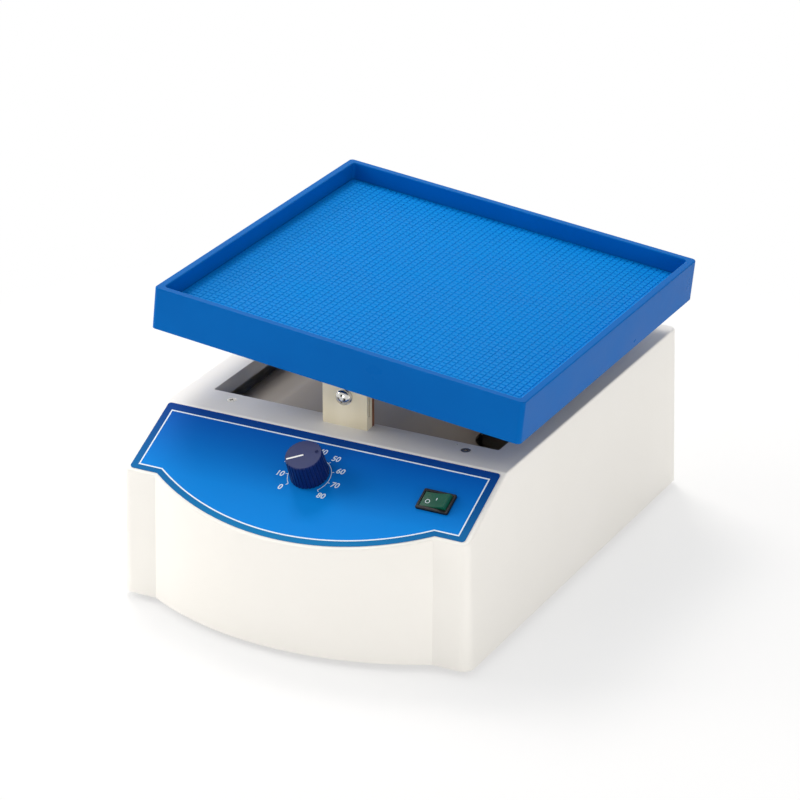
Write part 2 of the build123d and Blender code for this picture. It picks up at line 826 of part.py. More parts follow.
with BuildPart() as drive_lug:
    with BuildSketch(lug_end):
        with BuildLine():
            FilletPolyline(
                (-lug_cheek, -lug_tip),
                (-lug_cheek, lug_pin_drop - lug_sheet / 2),
                (lug_cheek, lug_pin_drop - lug_sheet / 2),
                (lug_cheek, -lug_tip),
                radius=lug_sheet,
            )
        trace(line_width=lug_sheet)
    extrude(amount=lug_length / 2, both=True)
    with BuildSketch(lug_side):
        Circle(lug_tip)
        with Locations((0, lug_pin_drop - lug_sheet / 2)):
            Rectangle(lug_length, lug_sheet)
        make_hull()
    extrude(amount=2 * lug_face, both=True, mode=Mode.INTERSECT)
    with BuildSketch(lug_side):
        Circle(lug_pin_radius + running_gap)
    extrude(amount=2 * lug_face, both=True, mode=Mode.SUBTRACT)
    with BuildSketch(tray_frame.offset(carrier_under)):
        with Locations((lug_x, 0)):
            with GridLocations(lug_rivet_spacing, 0, 2, 1):
                Circle(lug_rivet_radius + running_gap)
    extrude(amount=-lug_sheet, mode=Mode.SUBTRACT)
finish(drive_lug, "drive_lug")

with BuildPart() as lug_rivets:
    with BuildSketch(tray_frame.offset(carrier_top)):
        with Locations((lug_x, 0)):
            with GridLocations(lug_rivet_spacing, 0, 2, 1):
                Circle(lug_rivet_radius)
    extrude(amount=-carrier_sheet - lug_sheet)
    for level, height in ((carrier_top, lug_rivet_head), (carrier_under - lug_sheet, -lug_rivet_head)):
        with BuildSketch(tray_frame.offset(level)):
            with Locations((lug_x, 0)):
                with GridLocations(lug_rivet_spacing, 0, 2, 1):
                    Circle(lug_rivet_head_radius)
        extrude(amount=height)
finish(lug_rivets, "lug_rivets")

with BuildPart() as lug_pin:
    with BuildSketch(lug_side.offset(lug_face)):
        Circle(lug_pin_head_radius)
    extrude(amount=lug_pin_head)
    with BuildSketch(lug_side.offset(lug_face)):
        Circle(lug_pin_radius)
    extrude(amount=-2 * lug_face - 3 * lug_clip)
    with BuildSketch(lug_side.offset(-lug_face)):
        Circle(lug_pin_radius)
        Circle(lug_pin_radius - lug_clip_bite, mode=Mode.SUBTRACT)
    extrude(amount=-lug_clip - running_gap, mode=Mode.SUBTRACT)
finish(lug_pin, "lug_pin")

with BuildPart() as lug_clip_ring:
    with BuildSketch(lug_side.offset(-lug_face)):
        Circle(lug_clip_radius)
        Circle(lug_pin_radius - lug_clip_bite + running_gap, mode=Mode.SUBTRACT)
        with Locations((0, -lug_clip_radius)):
            Rectangle(lug_pin_radius, 2 * lug_clip_radius, mode=Mode.SUBTRACT)
    extrude(amount=-lug_clip)
finish(lug_clip_ring, "lug_clip")

# Crank drive. The rod's length and the crank's throw follow from the two ends of the tray's swing:
# the crank pin is at the bottom of its circle at rest, and at the top at the other end.
crank_x = lug_side.origin.X
low_reach = lug_side.origin.Z - crank_z
high_x = lug_x * cos(radians(tilt)) - lug_pin_rise * sin(radians(tilt))
high_z = pivot_z + lug_x * sin(radians(tilt)) + lug_pin_rise * cos(radians(tilt))
high_reach = hypot(high_x - crank_x, high_z - crank_z)
crank_throw = (high_reach - low_reach) / 2
rod_length = (high_reach + low_reach) / 2
rod_lean = degrees(atan2(crank_x - high_x, high_z - crank_z))
print("lug pin", lug_side.origin.X, lug_side.origin.Y, lug_side.origin.Z)
print("crank throw", crank_throw, "rod length", rod_length)
print("rod ratio", -(2 * tilt - rod_lean) / (2 * tilt), "crank ratio", -(180 - rod_lean) / (2 * tilt))

# The crank's frame looks at the drive from the front, from the middle of the rod's thickness
crank_frame = Plane(origin=(crank_x, tray_y, crank_z), x_dir=(1, 0, 0), z_dir=(0, -1, 0))
pin_frame = Plane(origin=(crank_x, tray_y, crank_z - crank_throw), x_dir=(1, 0, 0), z_dir=(0, -1, 0))
crank_face = crank_frame.offset(-rod_thickness / 2 - crank_side_gap)
bracket_face = crank_face.offset(-crank_thickness - bracket_gap)
gearbox_face = bracket_face.offset(-bracket_sheet)
gearbox_centre = (0, -gearbox_offset)

with BuildPart() as connecting_rod:
    with BuildSketch(pin_frame.offset(rod_thickness / 2)) as rod_plan:
        Circle(rod_big_eye)
        with Locations((0, rod_length)):
            Circle(rod_small_eye)
        with Locations((0, rod_length / 2)):
            Rectangle(rod_shank, rod_length)
        fillet(
            rod_plan.vertices().filter_by(lambda v: abs(abs(v.X) - rod_shank / 2) < 0.01), rod_web_fillet
        )
    extrude(amount=-rod_thickness)
    pocket_low = rod_big_eye + rod_rib
    pocket_high = rod_length - rod_small_eye - rod_rib
    for face, depth in ((rod_thickness / 2, -rod_pocket), (-rod_thickness / 2, rod_pocket)):
        with BuildSketch(pin_frame.offset(face)):
            with Locations((0, (pocket_low + pocket_high) / 2)):
                SlotOverall(pocket_high - pocket_low, rod_shank - 2 * rod_rib, rotation=90)
        extrude(amount=depth, mode=Mode.SUBTRACT)
    with BuildSketch(pin_frame.offset(rod_thickness / 2)):
        with Locations((0, rod_length)):
            Circle(rod_bush_radius + running_gap)
        Circle(bearing_radius - bearing_lip)
    extrude(amount=-rod_thickness, mode=Mode.SUBTRACT)
    with BuildSketch(pin_frame.offset(rod_thickness / 2)):
        Circle(bearing_radius + running_gap)
    extrude(amount=-(rod_thickness + bearing_width) / 2, mode=Mode.SUBTRACT)
finish(connecting_rod, "connecting_rod")

with BuildPart() as rod_bush:
    with BuildSketch(lug_side):
        Circle(rod_bush_radius)
        Circle(lug_pin_radius + running_gap, mode=Mode.SUBTRACT)
    extrude(amount=rod_thickness / 2, both=True)
finish(rod_bush, "rod_bush")

# Deep-groove ball bearing in the rod's big eye
ball_circle = (bearing_outer_race + bearing_inner_race) / 2
with BuildPart() as bearing_rings:
    with BuildSketch(pin_frame):
        Circle(bearing_radius)
        Circle(bearing_outer_race, mode=Mode.SUBTRACT)
        Circle(bearing_inner_race)
        Circle(crank_pin_radius + running_gap, mode=Mode.SUBTRACT)
    extrude(amount=bearing_width / 2, both=True)
    with Locations(pin_frame):
        Torus(ball_circle, ball_radius + running_gap, mode=Mode.SUBTRACT)
finish(bearing_rings, "bearing_rings")

with BuildPart() as bearing_balls:
    with Locations(pin_frame):
        with PolarLocations(ball_circle, ball_count):
            Sphere(ball_radius)
finish(bearing_balls, "bearing_balls")

pin_length = bearing_width / 2 + rod_thickness / 2 + crank_side_gap - moving_gap
with BuildPart() as crank_pin_screw:
    with BuildSketch(pin_frame.offset(bearing_width / 2)):
        Circle(crank_pin_head_radius)
    extrude(amount=crank_pin_head)
    fillet(crank_pin_screw.edges().sort_by(Axis.Y)[0], crank_pin_edge)
    with BuildSketch(pin_frame.offset(bearing_width / 2)):
        Circle(crank_pin_radius)
    extrude(amount=-pin_length)
    with BuildSketch(pin_frame.offset(bearing_width / 2 + crank_pin_head)):
        RegularPolygon(hex_key_radius, 6)
    extrude(amount=-crank_pin_head / 2, mode=Mode.SUBTRACT)
finish(crank_pin_screw, "crank_pin_screw")

with BuildPart() as crank_pin_spacer:
    with BuildSketch(pin_frame.offset(-bearing_width / 2)):
        Circle(bearing_inner_race - running_gap)
        Circle(crank_pin_radius + running_gap, mode=Mode.SUBTRACT)
    extrude(amount=bearing_width - pin_length)
finish(crank_pin_spacer, "crank_pin_spacer")

# Crank disc: flat on the rod's side, with a tapped hole for the crank pin and a radial set screw
with BuildPart() as crank_disc:
    with BuildSketch(crank_face):
        Circle(crank_radius)
    extrude(amount=-crank_thickness)
    chamfer(crank_disc.edges().filter_by(GeomType.CIRCLE), crank_edge)
    with BuildSketch(crank_face):
        Circle(shaft_radius + running_gap)
        with Locations((0, 2 * shaft_radius - shaft_flat + running_gap)):
            Rectangle(3 * shaft_radius, 2 * shaft_radius, mode=Mode.SUBTRACT)
        with Locations((0, -crank_throw)):
            Circle(crank_pin_hole_radius)
    extrude(amount=-crank_thickness, mode=Mode.SUBTRACT)
    with BuildSketch(Plane.XY.offset(crank_z)):
        with Locations((crank_x, crank_face.origin.Y + crank_thickness / 2)):
            Circle(medium_shank_radius + running_gap)
    extrude(amount=crank_radius, mode=Mode.SUBTRACT)
finish(crank_disc, "crank_disc")

with BuildPart() as crank_set_screw:
    with BuildSketch(Plane.XY.offset(crank_z + shaft_radius - shaft_flat + running_gap)):
        with Locations((crank_x, crank_face.origin.Y + crank_thickness / 2)):
            Circle(medium_shank_radius)
    extrude(amount=set_screw_length)
    with BuildSketch(Plane.XY.offset(crank_z + shaft_radius - shaft_flat + running_gap + set_screw_length)):
        with Locations((crank_x, crank_face.origin.Y + crank_thickness / 2)):
            RegularPolygon(medium_shank_radius / 2, 6)
    extrude(amount=-set_screw_length / 3, mode=Mode.SUBTRACT)
finish(crank_set_screw, "crank_set_screw")

shaft_length = crank_thickness - shaft_recess + bracket_gap + bracket_sheet + shaft_engagement
with BuildPart() as output_shaft:
    with BuildSketch(crank_face.offset(-shaft_recess)):
        Circle(shaft_radius)
    extrude(amount=-shaft_length)
    with BuildSketch(crank_face.offset(-shaft_recess)):
        with Locations((0, 2 * shaft_radius - shaft_flat)):
            Rectangle(3 * shaft_radius, 2 * shaft_radius)
    extrude(amount=shaft_recess - crank_thickness, mode=Mode.SUBTRACT)
finish(output_shaft, "output_shaft")

# Gear motor: an offset-shaft gearbox with a round motor behind it
with BuildPart() as gearbox_housing:
    with BuildSketch(gearbox_face):
        with Locations(gearbox_centre):
            Circle(gearbox_radius)
    extrude(amount=-gearbox_length)
    chamfer(gearbox_housing.edges().filter_by(GeomType.CIRCLE), gearbox_edge)
    with BuildSketch(gearbox_face):
        Circle(gearbox_boss_radius)
    extrude(amount=gearbox_boss)
    with BuildSketch(gearbox_face.offset(gearbox_boss)):
        Circle(shaft_radius + running_gap)
    extrude(amount=-gearbox_boss - shaft_engagement - moving_gap, mode=Mode.SUBTRACT)
    with BuildSketch(gearbox_face):
        with Locations(gearbox_centre):
            with PolarLocations(gearbox_screw_circle, gearbox_screw_count, start_angle=gearbox_screw_turn):
                Circle(small_shank_radius + running_gap)
    extrude(amount=-gearbox_screw_bite - hole_gap, mode=Mode.SUBTRACT)
finish(gearbox_housing, "gearbox_housing")

with BuildPart() as motor_can:
    with BuildSketch(gearbox_face.offset(-gearbox_length)):
        with Locations(gearbox_centre):
            Circle(motor_radius)
    extrude(amount=-motor_length)
    fillet(motor_can.edges().filter_by(GeomType.CIRCLE).sort_by(Axis.Y)[-1], gearbox_edge)
    with BuildSketch(gearbox_face.offset(-gearbox_length - motor_length)):
        with Locations(gearbox_centre):
            Circle(motor_boss_radius)
            with GridLocations(motor_tab_spacing, 0, 2, 1):
                Rectangle(motor_tab_sheet, motor_tab_width)
    extrude(amount=-motor_boss)
finish(motor_can, "motor_can")

with BuildPart() as gearbox_screws:
    with Locations(bracket_face):
        with Locations(gearbox_centre):
            with PolarLocations(gearbox_screw_circle, gearbox_screw_count, start_angle=gearbox_screw_turn):
                add(
                    plain_screw(
                        small_shank_radius,
                        bracket_sheet + gearbox_screw_bite,
                        small_head_radius,
                        small_head_height,
                    )
                )
finish(gearbox_screws, "gearbox_screws")

# Motor bracket: a bent plate hung under the pan beside its notch, reaching out to the gearbox
bracket_fold = Plane(origin=(bracket_x, bracket_y, pan_under), x_dir=(0, 1, 0), z_dir=(1, 0, 0))
with BuildPart() as motor_bracket:
    with BuildSketch(bracket_fold):
        with BuildLine():
            FilletPolyline(
                (bracket_sheet / 2, -bracket_foot),
                (bracket_sheet / 2, -bracket_sheet / 2),
                (bracket_foot, -bracket_sheet / 2),
                radius=bracket_sheet,
            )
        trace(line_width=bracket_sheet)
    extrude(amount=bracket_foot_width / 2, both=True)
    with BuildSketch(bracket_face):
        with Locations(gearbox_centre):
            Circle(gearbox_radius + bracket_overhang)
        with Locations((bracket_x - crank_x, pan_under - crank_z - bracket_foot)):
            Rectangle(bracket_foot_width, bracket_foot)
        make_hull()
    extrude(amount=-bracket_sheet)
    with BuildSketch(bracket_face):
        Circle(gearbox_boss_radius + hole_gap)
        with Locations(gearbox_centre):
            with PolarLocations(gearbox_screw_circle, gearbox_screw_count, start_angle=gearbox_screw_turn):
                Circle(small_shank_radius + hole_gap)
    extrude(amount=-bracket_sheet, mode=Mode.SUBTRACT)
    with BuildSketch(Plane.XY.offset(pan_under)):
        with Locations(*bracket_screw_places):
            Circle(small_shank_radius + running_gap)
    extrude(amount=-bracket_sheet, mode=Mode.SUBTRACT)
finish(motor_bracket, "motor_bracket")

with BuildPart() as bracket_screws:
    with Locations(*[(x, y, pan_top) for x, y in bracket_screw_places]):
        add(
            cross_screw(
                small_shank_radius, pan_sheet + bracket_sheet, small_head_radius, small_head_height
            )
        )
finish(bracket_screws, "bracket_screws")

# Control overlay: a thin sheet on the slope that follows the casing's bulged front
overlay_side_x = half_width - overlay_side
overlay_tab_drop = slope_length - overlay_bottom
overlay_bulge_x = half_width - corner_tab

with BuildPart() as control_overlay:
    with BuildSketch(slope_plane) as overlay_plan:
        with BuildLine():
            Polyline(
                (-overlay_bulge_x, -overlay_tab_drop),
                (-overlay_side_x, -overlay_tab_drop),
                (-overlay_side_x, -overlay_top),
                (overlay_side_x, -overlay_top),
                (overlay_side_x, -overlay_tab_drop),
                (overlay_bulge_x, -overlay_tab_drop),
            )
            SagittaArc(
                (overlay_bulge_x, -overlay_tab_drop),
                (-overlay_bulge_x, -overlay_tab_drop),
                bulge_depth / cos(radians(slope_angle)),
            )
        make_face()
        fillet(overlay_plan.vertices().filter_by(lambda v: abs(v.X) > overlay_bulge_x + 1), overlay_corner)
        with Locations((0, -control_drop)):
            Circle(pot_bush_radius + hole_gap, mode=Mode.SUBTRACT)
            with Locations((switch_x, 0)):
                Rectangle(
                    switch_body_width + 2 * hole_gap, switch_body_height + 2 * hole_gap, mode=Mode.SUBTRACT
                )
    extrude(amount=overlay_thickness)
finish(control_overlay, "control_overlay")

# Speed control: a rotary potentiometer behind the slope, held by a nut, with a fluted knob on its
# shaft. The knob's frame is turned so that its y runs along the pointer.
knob_frame = turned(on_slope(0, control_drop, knob_lift), -pointer_at_rest)
knob_top_radius = knob_radius - knob_height * tan(radians(knob_taper))
pot_face = on_slope(0, control_drop, -case_wall)
flat_offset = 2 * pot_shaft_radius - shaft_flat

with BuildPart() as speed_pot_body:
    with BuildSketch(pot_face):
        Circle(pot_radius)
        with Locations((0, -pot_radius)):
            Rectangle(pot_radius, pot_tag_reach)
    extrude(amount=-pot_depth)
    with BuildSketch(pot_face):
        Circle(pot_bush_radius)
    extrude(amount=case_wall + pot_bush_height)
    with BuildSketch(pot_face.offset(case_wall + pot_bush_height)):
        Circle(pot_shaft_radius + running_gap)
    extrude(amount=-case_wall - pot_bush_height - pot_depth + case_wall, mode=Mode.SUBTRACT)
finish(speed_pot_body, "speed_pot_body")

with BuildPart() as pot_nut_ring:
    with BuildSketch(on_slope(0, control_drop, overlay_thickness)):
        RegularPolygon(pot_nut_radius, 6)
        Circle(pot_bush_radius + running_gap, mode=Mode.SUBTRACT)
    extrude(amount=pot_nut)
finish(pot_nut_ring, "pot_nut")

with BuildPart() as pot_shaft:
    with BuildSketch(knob_frame.offset(knob_bore - hole_gap)):
        Circle(pot_shaft_radius)
    extrude(amount=-(knob_bore + knob_lift + pot_depth - case_wall))
    with BuildSketch(knob_frame.offset(knob_bore - hole_gap)):
        with Locations((0, flat_offset)):
            Rectangle(3 * pot_shaft_radius, 2 * pot_shaft_radius)
    extrude(amount=knob_skirt_depth - knob_bore, mode=Mode.SUBTRACT)
finish(pot_shaft, "pot_shaft")

with BuildPart() as speed_knob:
    for height, radius in ((0, knob_radius), (knob_height, knob_top_radius)):
        with BuildSketch(knob_frame.offset(height)):
            Circle(radius)
            with PolarLocations(radius, knob_flutes):
                Circle(knob_flute_radius, mode=Mode.SUBTRACT)
    loft()
    knob_side = Plane(origin=knob_frame.origin, x_dir=knob_frame.x_dir, z_dir=-knob_frame.y_dir)
    with BuildSketch(knob_side) as profile:
        with BuildLine():
            Polyline(
                (0, 0),
                (knob_radius, 0),
                (knob_top_radius, knob_height),
                (0, knob_height),
                close=True,
            )
        make_face()
        fillet(profile.vertices().sort_by(Axis.Y)[-2:].sort_by(Axis.X)[-1], knob_edge)
    revolve(axis=Axis(knob_frame.origin, knob_frame.z_dir), mode=Mode.INTERSECT)
    with BuildSketch(knob_frame):
        Circle(knob_skirt_radius)
    extrude(amount=knob_skirt_depth, mode=Mode.SUBTRACT)
    with BuildSketch(knob_frame.offset(knob_bore)):
        Circle(pot_shaft_radius + running_gap)
        with Locations((0, flat_offset + running_gap)):
            Rectangle(3 * pot_shaft_radius, 2 * pot_shaft_radius, mode=Mode.SUBTRACT)
    extrude(amount=-knob_bore, mode=Mode.SUBTRACT)
    with BuildSketch(knob_frame.offset(knob_height)):
        with Locations((0, pointer_length / 2)):
            Rectangle(pointer_width + 2 * running_gap, pointer_length + 2 * running_gap)
    extrude(amount=-pointer_depth, mode=Mode.SUBTRACT)
    with Locations(knob_frame.offset(knob_height)):
        with Locations((0, -dimple_reach, dimple_radius - dimple_depth)):
            Sphere(dimple_radius, mode=Mode.SUBTRACT)
    knob_screw_frame = Plane(
        origin=knob_frame.from_local_coords(Vector(0, 0, knob_screw_height)),
        x_dir=knob_frame.x_dir,
        z_dir=knob_frame.y_dir,
    )
    with BuildSketch(knob_screw_frame):
        Circle(small_shank_radius + running_gap)
    extrude(amount=knob_radius, mode=Mode.SUBTRACT)
finish(speed_knob, "speed_knob")

with BuildPart() as knob_pointer:
    with BuildSketch(knob_frame.offset(knob_height)):
        with Locations((0, pointer_length / 2)):
            Rectangle(pointer_width, pointer_length)
    extrude(amount=-pointer_depth)
finish(knob_pointer, "knob_pointer")

knob_screw_seat = pot_shaft_radius - shaft_flat + running_gap
with BuildPart() as knob_set_screw:
    with BuildSketch(knob_screw_frame.offset(knob_screw_seat)):
        Circle(small_shank_radius)
    extrude(amount=knob_screw_length)
    with BuildSketch(knob_screw_frame.offset(knob_screw_seat + knob_screw_length)):
        RegularPolygon(small_shank_radius / 2, 6)
    extrude(amount=-knob_screw_length / 3, mode=Mode.SUBTRACT)
finish(knob_set_screw, "knob_set_screw")

# Power switch: a snap-in frame with a bezel, a hollowed rocker on two stub pins, and four tabs
switch_frame_plane = on_slope(switch_x, control_drop)
rocker_axis_plane = Plane(
    origin=switch_frame_plane.from_local_coords(Vector(0, 0, rocker_pivot_rise)),
    x_dir=switch_frame_plane.x_dir,
    z_dir=-switch_frame_plane.y_dir,
)
rocker_plane = turned(rocker_axis_plane, rocker_angle)
rocker_well = rocker_radius * sin(radians(rocker_foot_angle + rocker_angle)) + moving_gap - rocker_pivot_rise
pin_half_length = rocker_width / 2 + moving_gap + rocker_pin_reach

with BuildPart() as switch_frame:
    with BuildSketch(switch_frame_plane.offset(overlay_thickness)):
        RectangleRounded(switch_width, switch_height, switch_corner)
    extrude(amount=switch_bezel - overlay_thickness)
    fillet(
        switch_frame.faces().sort_by(Axis(slope_plane.origin, slope_plane.z_dir))[-1].edges(), switch_edge
    )
    with BuildSketch(switch_frame_plane.offset(overlay_thickness)):
        Rectangle(switch_body_width, switch_body_height)
    extrude(amount=-overlay_thickness - switch_body_depth)
    with BuildSketch(switch_frame_plane.offset(switch_bezel)):
        Rectangle(2 * (rocker_radius + moving_gap), rocker_width + 2 * moving_gap)
    extrude(amount=-switch_bezel - rocker_well, mode=Mode.SUBTRACT)
    with BuildSketch(rocker_axis_plane):
        Circle(rocker_pin_radius + running_gap)
    extrude(amount=pin_half_length + running_gap, both=True, mode=Mode.SUBTRACT)
finish(switch_frame, "switch_frame")

with BuildPart() as switch_rocker:
    with BuildSketch(rocker_plane):
        with BuildLine():
            arc_size = rocker_corner_angle + rocker_foot_angle
            right_end = CenterArc((0, 0), rocker_radius, -rocker_foot_angle, arc_size)
            left_end = CenterArc((0, 0), rocker_radius, 180 - rocker_corner_angle, arc_size)
            crown = rocker_radius * sin(radians(rocker_corner_angle)) - rocker_dip
            ThreePointArc(right_end @ 1, (0, crown), left_end @ 0)
            Line(left_end @ 1, right_end @ 0)
        make_face()
    extrude(amount=rocker_width / 2, both=True)
    with BuildSketch(rocker_plane):
        Circle(rocker_pin_radius)
    extrude(amount=pin_half_length, both=True)
finish(switch_rocker, "switch_rocker")

with BuildPart() as switch_tabs:
    with BuildSketch(switch_frame_plane.offset(-switch_body_depth)):
        with GridLocations(switch_tab_spacing_x, switch_tab_spacing_y, 2, 2):
            Rectangle(switch_tab_sheet, switch_tab_width)
    extrude(amount=-switch_tab_length)
finish(switch_tabs, "switch_tabs")

# Mains inlet: a flanged socket with three blades, and below them a drawer for the fuse
socket_centre = (0, socket_rise)
pin_places = [
    (-pin_spacing / 2, socket_rise - pin_stagger / 2),
    (pin_spacing / 2, socket_rise - pin_stagger / 2),
    (0, socket_rise + pin_stagger / 2),
]

with BuildPart() as inlet_socket:
    with BuildSketch(inlet_frame):
        RectangleRounded(inlet_flange_width, inlet_flange_height, inlet_flange_corner)
        with GridLocations(inlet_screw_spacing, 0, 2, 1):
            Circle(small_shank_radius + hole_gap, mode=Mode.SUBTRACT)
    extrude(amount=inlet_flange)
    with BuildSketch(inlet_frame):
        Rectangle(inlet_body_width, inlet_body_height)
    extrude(amount=-inlet_body_depth)
    with BuildSketch(inlet_frame.offset(inlet_flange)) as socket_plan:
        with Locations(socket_centre):
            Rectangle(socket_width, socket_height)
        chamfer(socket_plan.vertices().group_by(Axis.Y)[-1], socket_corner)
    extrude(amount=-socket_depth, mode=Mode.SUBTRACT)
    with BuildSketch(inlet_frame):
        with Locations(*pin_places):
            Rectangle(pin_width + 2 * running_gap, pin_height + 2 * running_gap)
    extrude(amount=-inlet_body_depth, mode=Mode.SUBTRACT)
    with BuildSketch(inlet_frame.offset(inlet_flange)):
        with Locations((0, -drawer_drop)):
            Rectangle(drawer_width + 2 * moving_gap, drawer_height + 2 * moving_gap)
    extrude(amount=-drawer_depth - moving_gap, mode=Mode.SUBTRACT)
finish(inlet_socket, "inlet_socket")

with BuildPart() as inlet_pins:
    with BuildSketch(inlet_frame.offset(inlet_flange - socket_depth + pin_reach)):
        with Locations(*pin_places):
            Rectangle(pin_width, pin_height)
    extrude(amount=socket_depth - pin_reach - inlet_flange - inlet_body_depth - pin_tail)
finish(inlet_pins, "inlet_pins")

with BuildPart() as inlet_screws:
    with Locations(inlet_frame.offset(inlet_flange)):
        with GridLocations(inlet_screw_spacing, 0, 2, 1):
            add(
                cross_screw(
                    small_shank_radius, inlet_flange + 2 * case_wall, small_head_radius, small_head_height
                )
            )
finish(inlet_screws, "inlet_screws")

drawer_face = Plane(
    origin=inlet_frame.from_local_coords(Vector(0, -drawer_drop, inlet_flange)),
    x_dir=inlet_frame.x_dir,
    z_dir=inlet_frame.z_dir,
)
with BuildPart() as fuse_drawer:
    with BuildSketch(drawer_face.offset(drawer_front)):
        RectangleRounded(drawer_width + 2 * drawer_lip, drawer_height + 2 * drawer_lip, drawer_lip)
    extrude(amount=-drawer_front)
    with BuildSketch(drawer_face):
        Rectangle(drawer_width, drawer_height)
    extrude(amount=-drawer_depth)
    with BuildSketch(drawer_face.offset(-drawer_wall)):
        with Locations((0, drawer_height / 2)):
            Rectangle(2 * (fuse_radius + hole_gap), drawer_height + 2 * fuse_radius)
    extrude(amount=-fuse_length - 2 * hole_gap, mode=Mode.SUBTRACT)
    with BuildSketch(drawer_face.offset(drawer_front)):
        Rectangle(drawer_grip_width, drawer_grip_height)
    extrude(amount=-drawer_front / 2, mode=Mode.SUBTRACT)
finish(fuse_drawer, "fuse_drawer")

with BuildPart() as fuse:
    with BuildSketch(drawer_face.offset(-drawer_wall - hole_gap)):
        Circle(fuse_radius)
    extrude(amount=-fuse_length)
    with BuildSketch(drawer_face.offset(-drawer_wall - hole_gap - fuse_cap)):
        Circle(fuse_radius)
        Circle(fuse_radius - fuse_waist, mode=Mode.SUBTRACT)
    extrude(amount=2 * fuse_cap - fuse_length, mode=Mode.SUBTRACT)
finish(fuse, "fuse")

# Base plate: a sheet recessed into the casing's foot, with air slots and a pressed nut over each
# foot. It carries the power supply.
foot_places = corners(foot_x, foot_y)
standoff_places = [
    (board_x + x, board_y + y)
    for x, y in corners(board_length / 2 - board_screw_inset, board_width / 2 - board_screw_inset)
]
ear_places = [(core_x + side * (core_width + strap_ear) / 2, core_y) for side in (-1, 1)]

with BuildPart() as bottom_plate:
    with BuildSketch(Plane.XY.offset(plate_under)):
        add(casing_outline(case_wall + plate_gap, plate_under))
        with Locations(*post_places):
            Circle(small_shank_radius + hole_gap, mode=Mode.SUBTRACT)
        with Locations(*foot_places):
            Circle(medium_shank_radius + running_gap, mode=Mode.SUBTRACT)
        with Locations(*standoff_places, *ear_places):
            Circle(small_shank_radius + running_gap, mode=Mode.SUBTRACT)
        with Locations((plate_vent_x, plate_vent_y), (plate_vent_x, -plate_vent_y)):
            with GridLocations(vent_pitch, 0, vent_count, 1):
                SlotOverall(vent_length, vent_width, rotation=90, mode=Mode.SUBTRACT)
    extrude(amount=plate_sheet)
    with BuildSketch(Plane.XY.offset(plate_top)):
        with Locations(*foot_places):
            RegularPolygon(nut_flats_radius, 6)
            Circle(medium_shank_radius + running_gap, mode=Mode.SUBTRACT)
    extrude(amount=nut_height)
finish(bottom_plate, "bottom_plate")

with BuildPart() as plate_screws:
    with Locations(*[Location((x, y, plate_under), (180, 0, 0)) for x, y in post_places]):
        add(
            cross_screw(
                small_shank_radius,
                plate_sheet + post_screw_bite - hole_gap,
                small_head_radius,
                small_head_height,
            )
        )
finish(plate_screws, "plate_screws")

with BuildPart() as rubber_feet:
    with Locations(*foot_places):
        Cone(
            foot_radius - foot_taper,
            foot_radius,
            plate_under,
            align=(Align.CENTER, Align.CENTER, Align.MIN),
        )
        Cylinder(
            medium_head_radius + foot_recess_gap,
            foot_screw_seat,
            align=(Align.CENTER, Align.CENTER, Align.MIN),
            mode=Mode.SUBTRACT,
        )
        Cylinder(medium_shank_radius + running_gap, 2 * plate_under, mode=Mode.SUBTRACT)
finish(rubber_feet, "rubber_feet")

with BuildPart() as foot_screws:
    with Locations(*[Location((x, y, foot_screw_seat), (180, 0, 0)) for x, y in foot_places]):
        add(
            cross_screw(
                medium_shank_radius,
                plate_top - foot_screw_seat + nut_height,
                medium_head_radius,
                medium_head_height,
            )
        )
finish(foot_screws, "foot_screws")

# Power supply and speed controller: a board on four standoffs, and a mains transformer
board_under = plate_top + standoff_height
board_top = board_under + board_thickness
with BuildPart() as board_standoffs:
    with BuildSketch(Plane.XY.offset(plate_top)):
        with Locations(*standoff_places):
            RegularPolygon(standoff_radius, 6)
            Circle(small_shank_radius + running_gap, mode=Mode.SUBTRACT)
    extrude(amount=standoff_height)
finish(board_standoffs, "board_standoffs")

with BuildPart() as control_board:
    with BuildSketch(Plane.XY.offset(board_under)):
        with Locations((board_x, board_y)):
            Rectangle(board_length, board_width)
        with Locations(*standoff_places):
            Circle(small_shank_radius + running_gap, mode=Mode.SUBTRACT)
    extrude(amount=board_thickness)
finish(control_board, "control_board")

with BuildPart() as board_capacitor:
    with Locations((board_x - capacitor_shift, board_y, board_top)):
        Cylinder(capacitor_radius, capacitor_height, align=(Align.CENTER, Align.CENTER, Align.MIN))
    fillet(board_capacitor.edges().filter_by(GeomType.CIRCLE).sort_by(Axis.Z)[-1], capacitor_edge)
finish(board_capacitor, "board_capacitor")

with BuildPart() as board_heatsink:
    with BuildSketch(Plane.XY.offset(board_top)):
        with Locations((board_x + sink_shift, board_y)):
            Rectangle(sink_length, sink_fin)
            with Locations((0, sink_depth / 2)):
                with GridLocations((sink_length - sink_fin) / (sink_fins - 1), 0, sink_fins, 1):
                    Rectangle(sink_fin, sink_depth)
    extrude(amount=sink_height)
finish(board_heatsink, "board_heatsink")

with BuildPart() as terminal_block:
    terminal_y = board_y - board_width / 2 + terminal_depth / 2
    with Locations((board_x, terminal_y, board_top)):
        Box(
            terminal_ways * terminal_pitch,
            terminal_depth,
            terminal_height,
            align=(Align.CENTER, Align.CENTER, Align.MIN),
        )
    with BuildSketch(Plane.XY.offset(board_top + terminal_height)):
        with Locations((board_x, terminal_y)):
            with GridLocations(terminal_pitch, 0, terminal_ways, 1):
                Circle(terminal_hole_radius)
    extrude(amount=-terminal_height / 2, mode=Mode.SUBTRACT)
finish(terminal_block, "terminal_block")

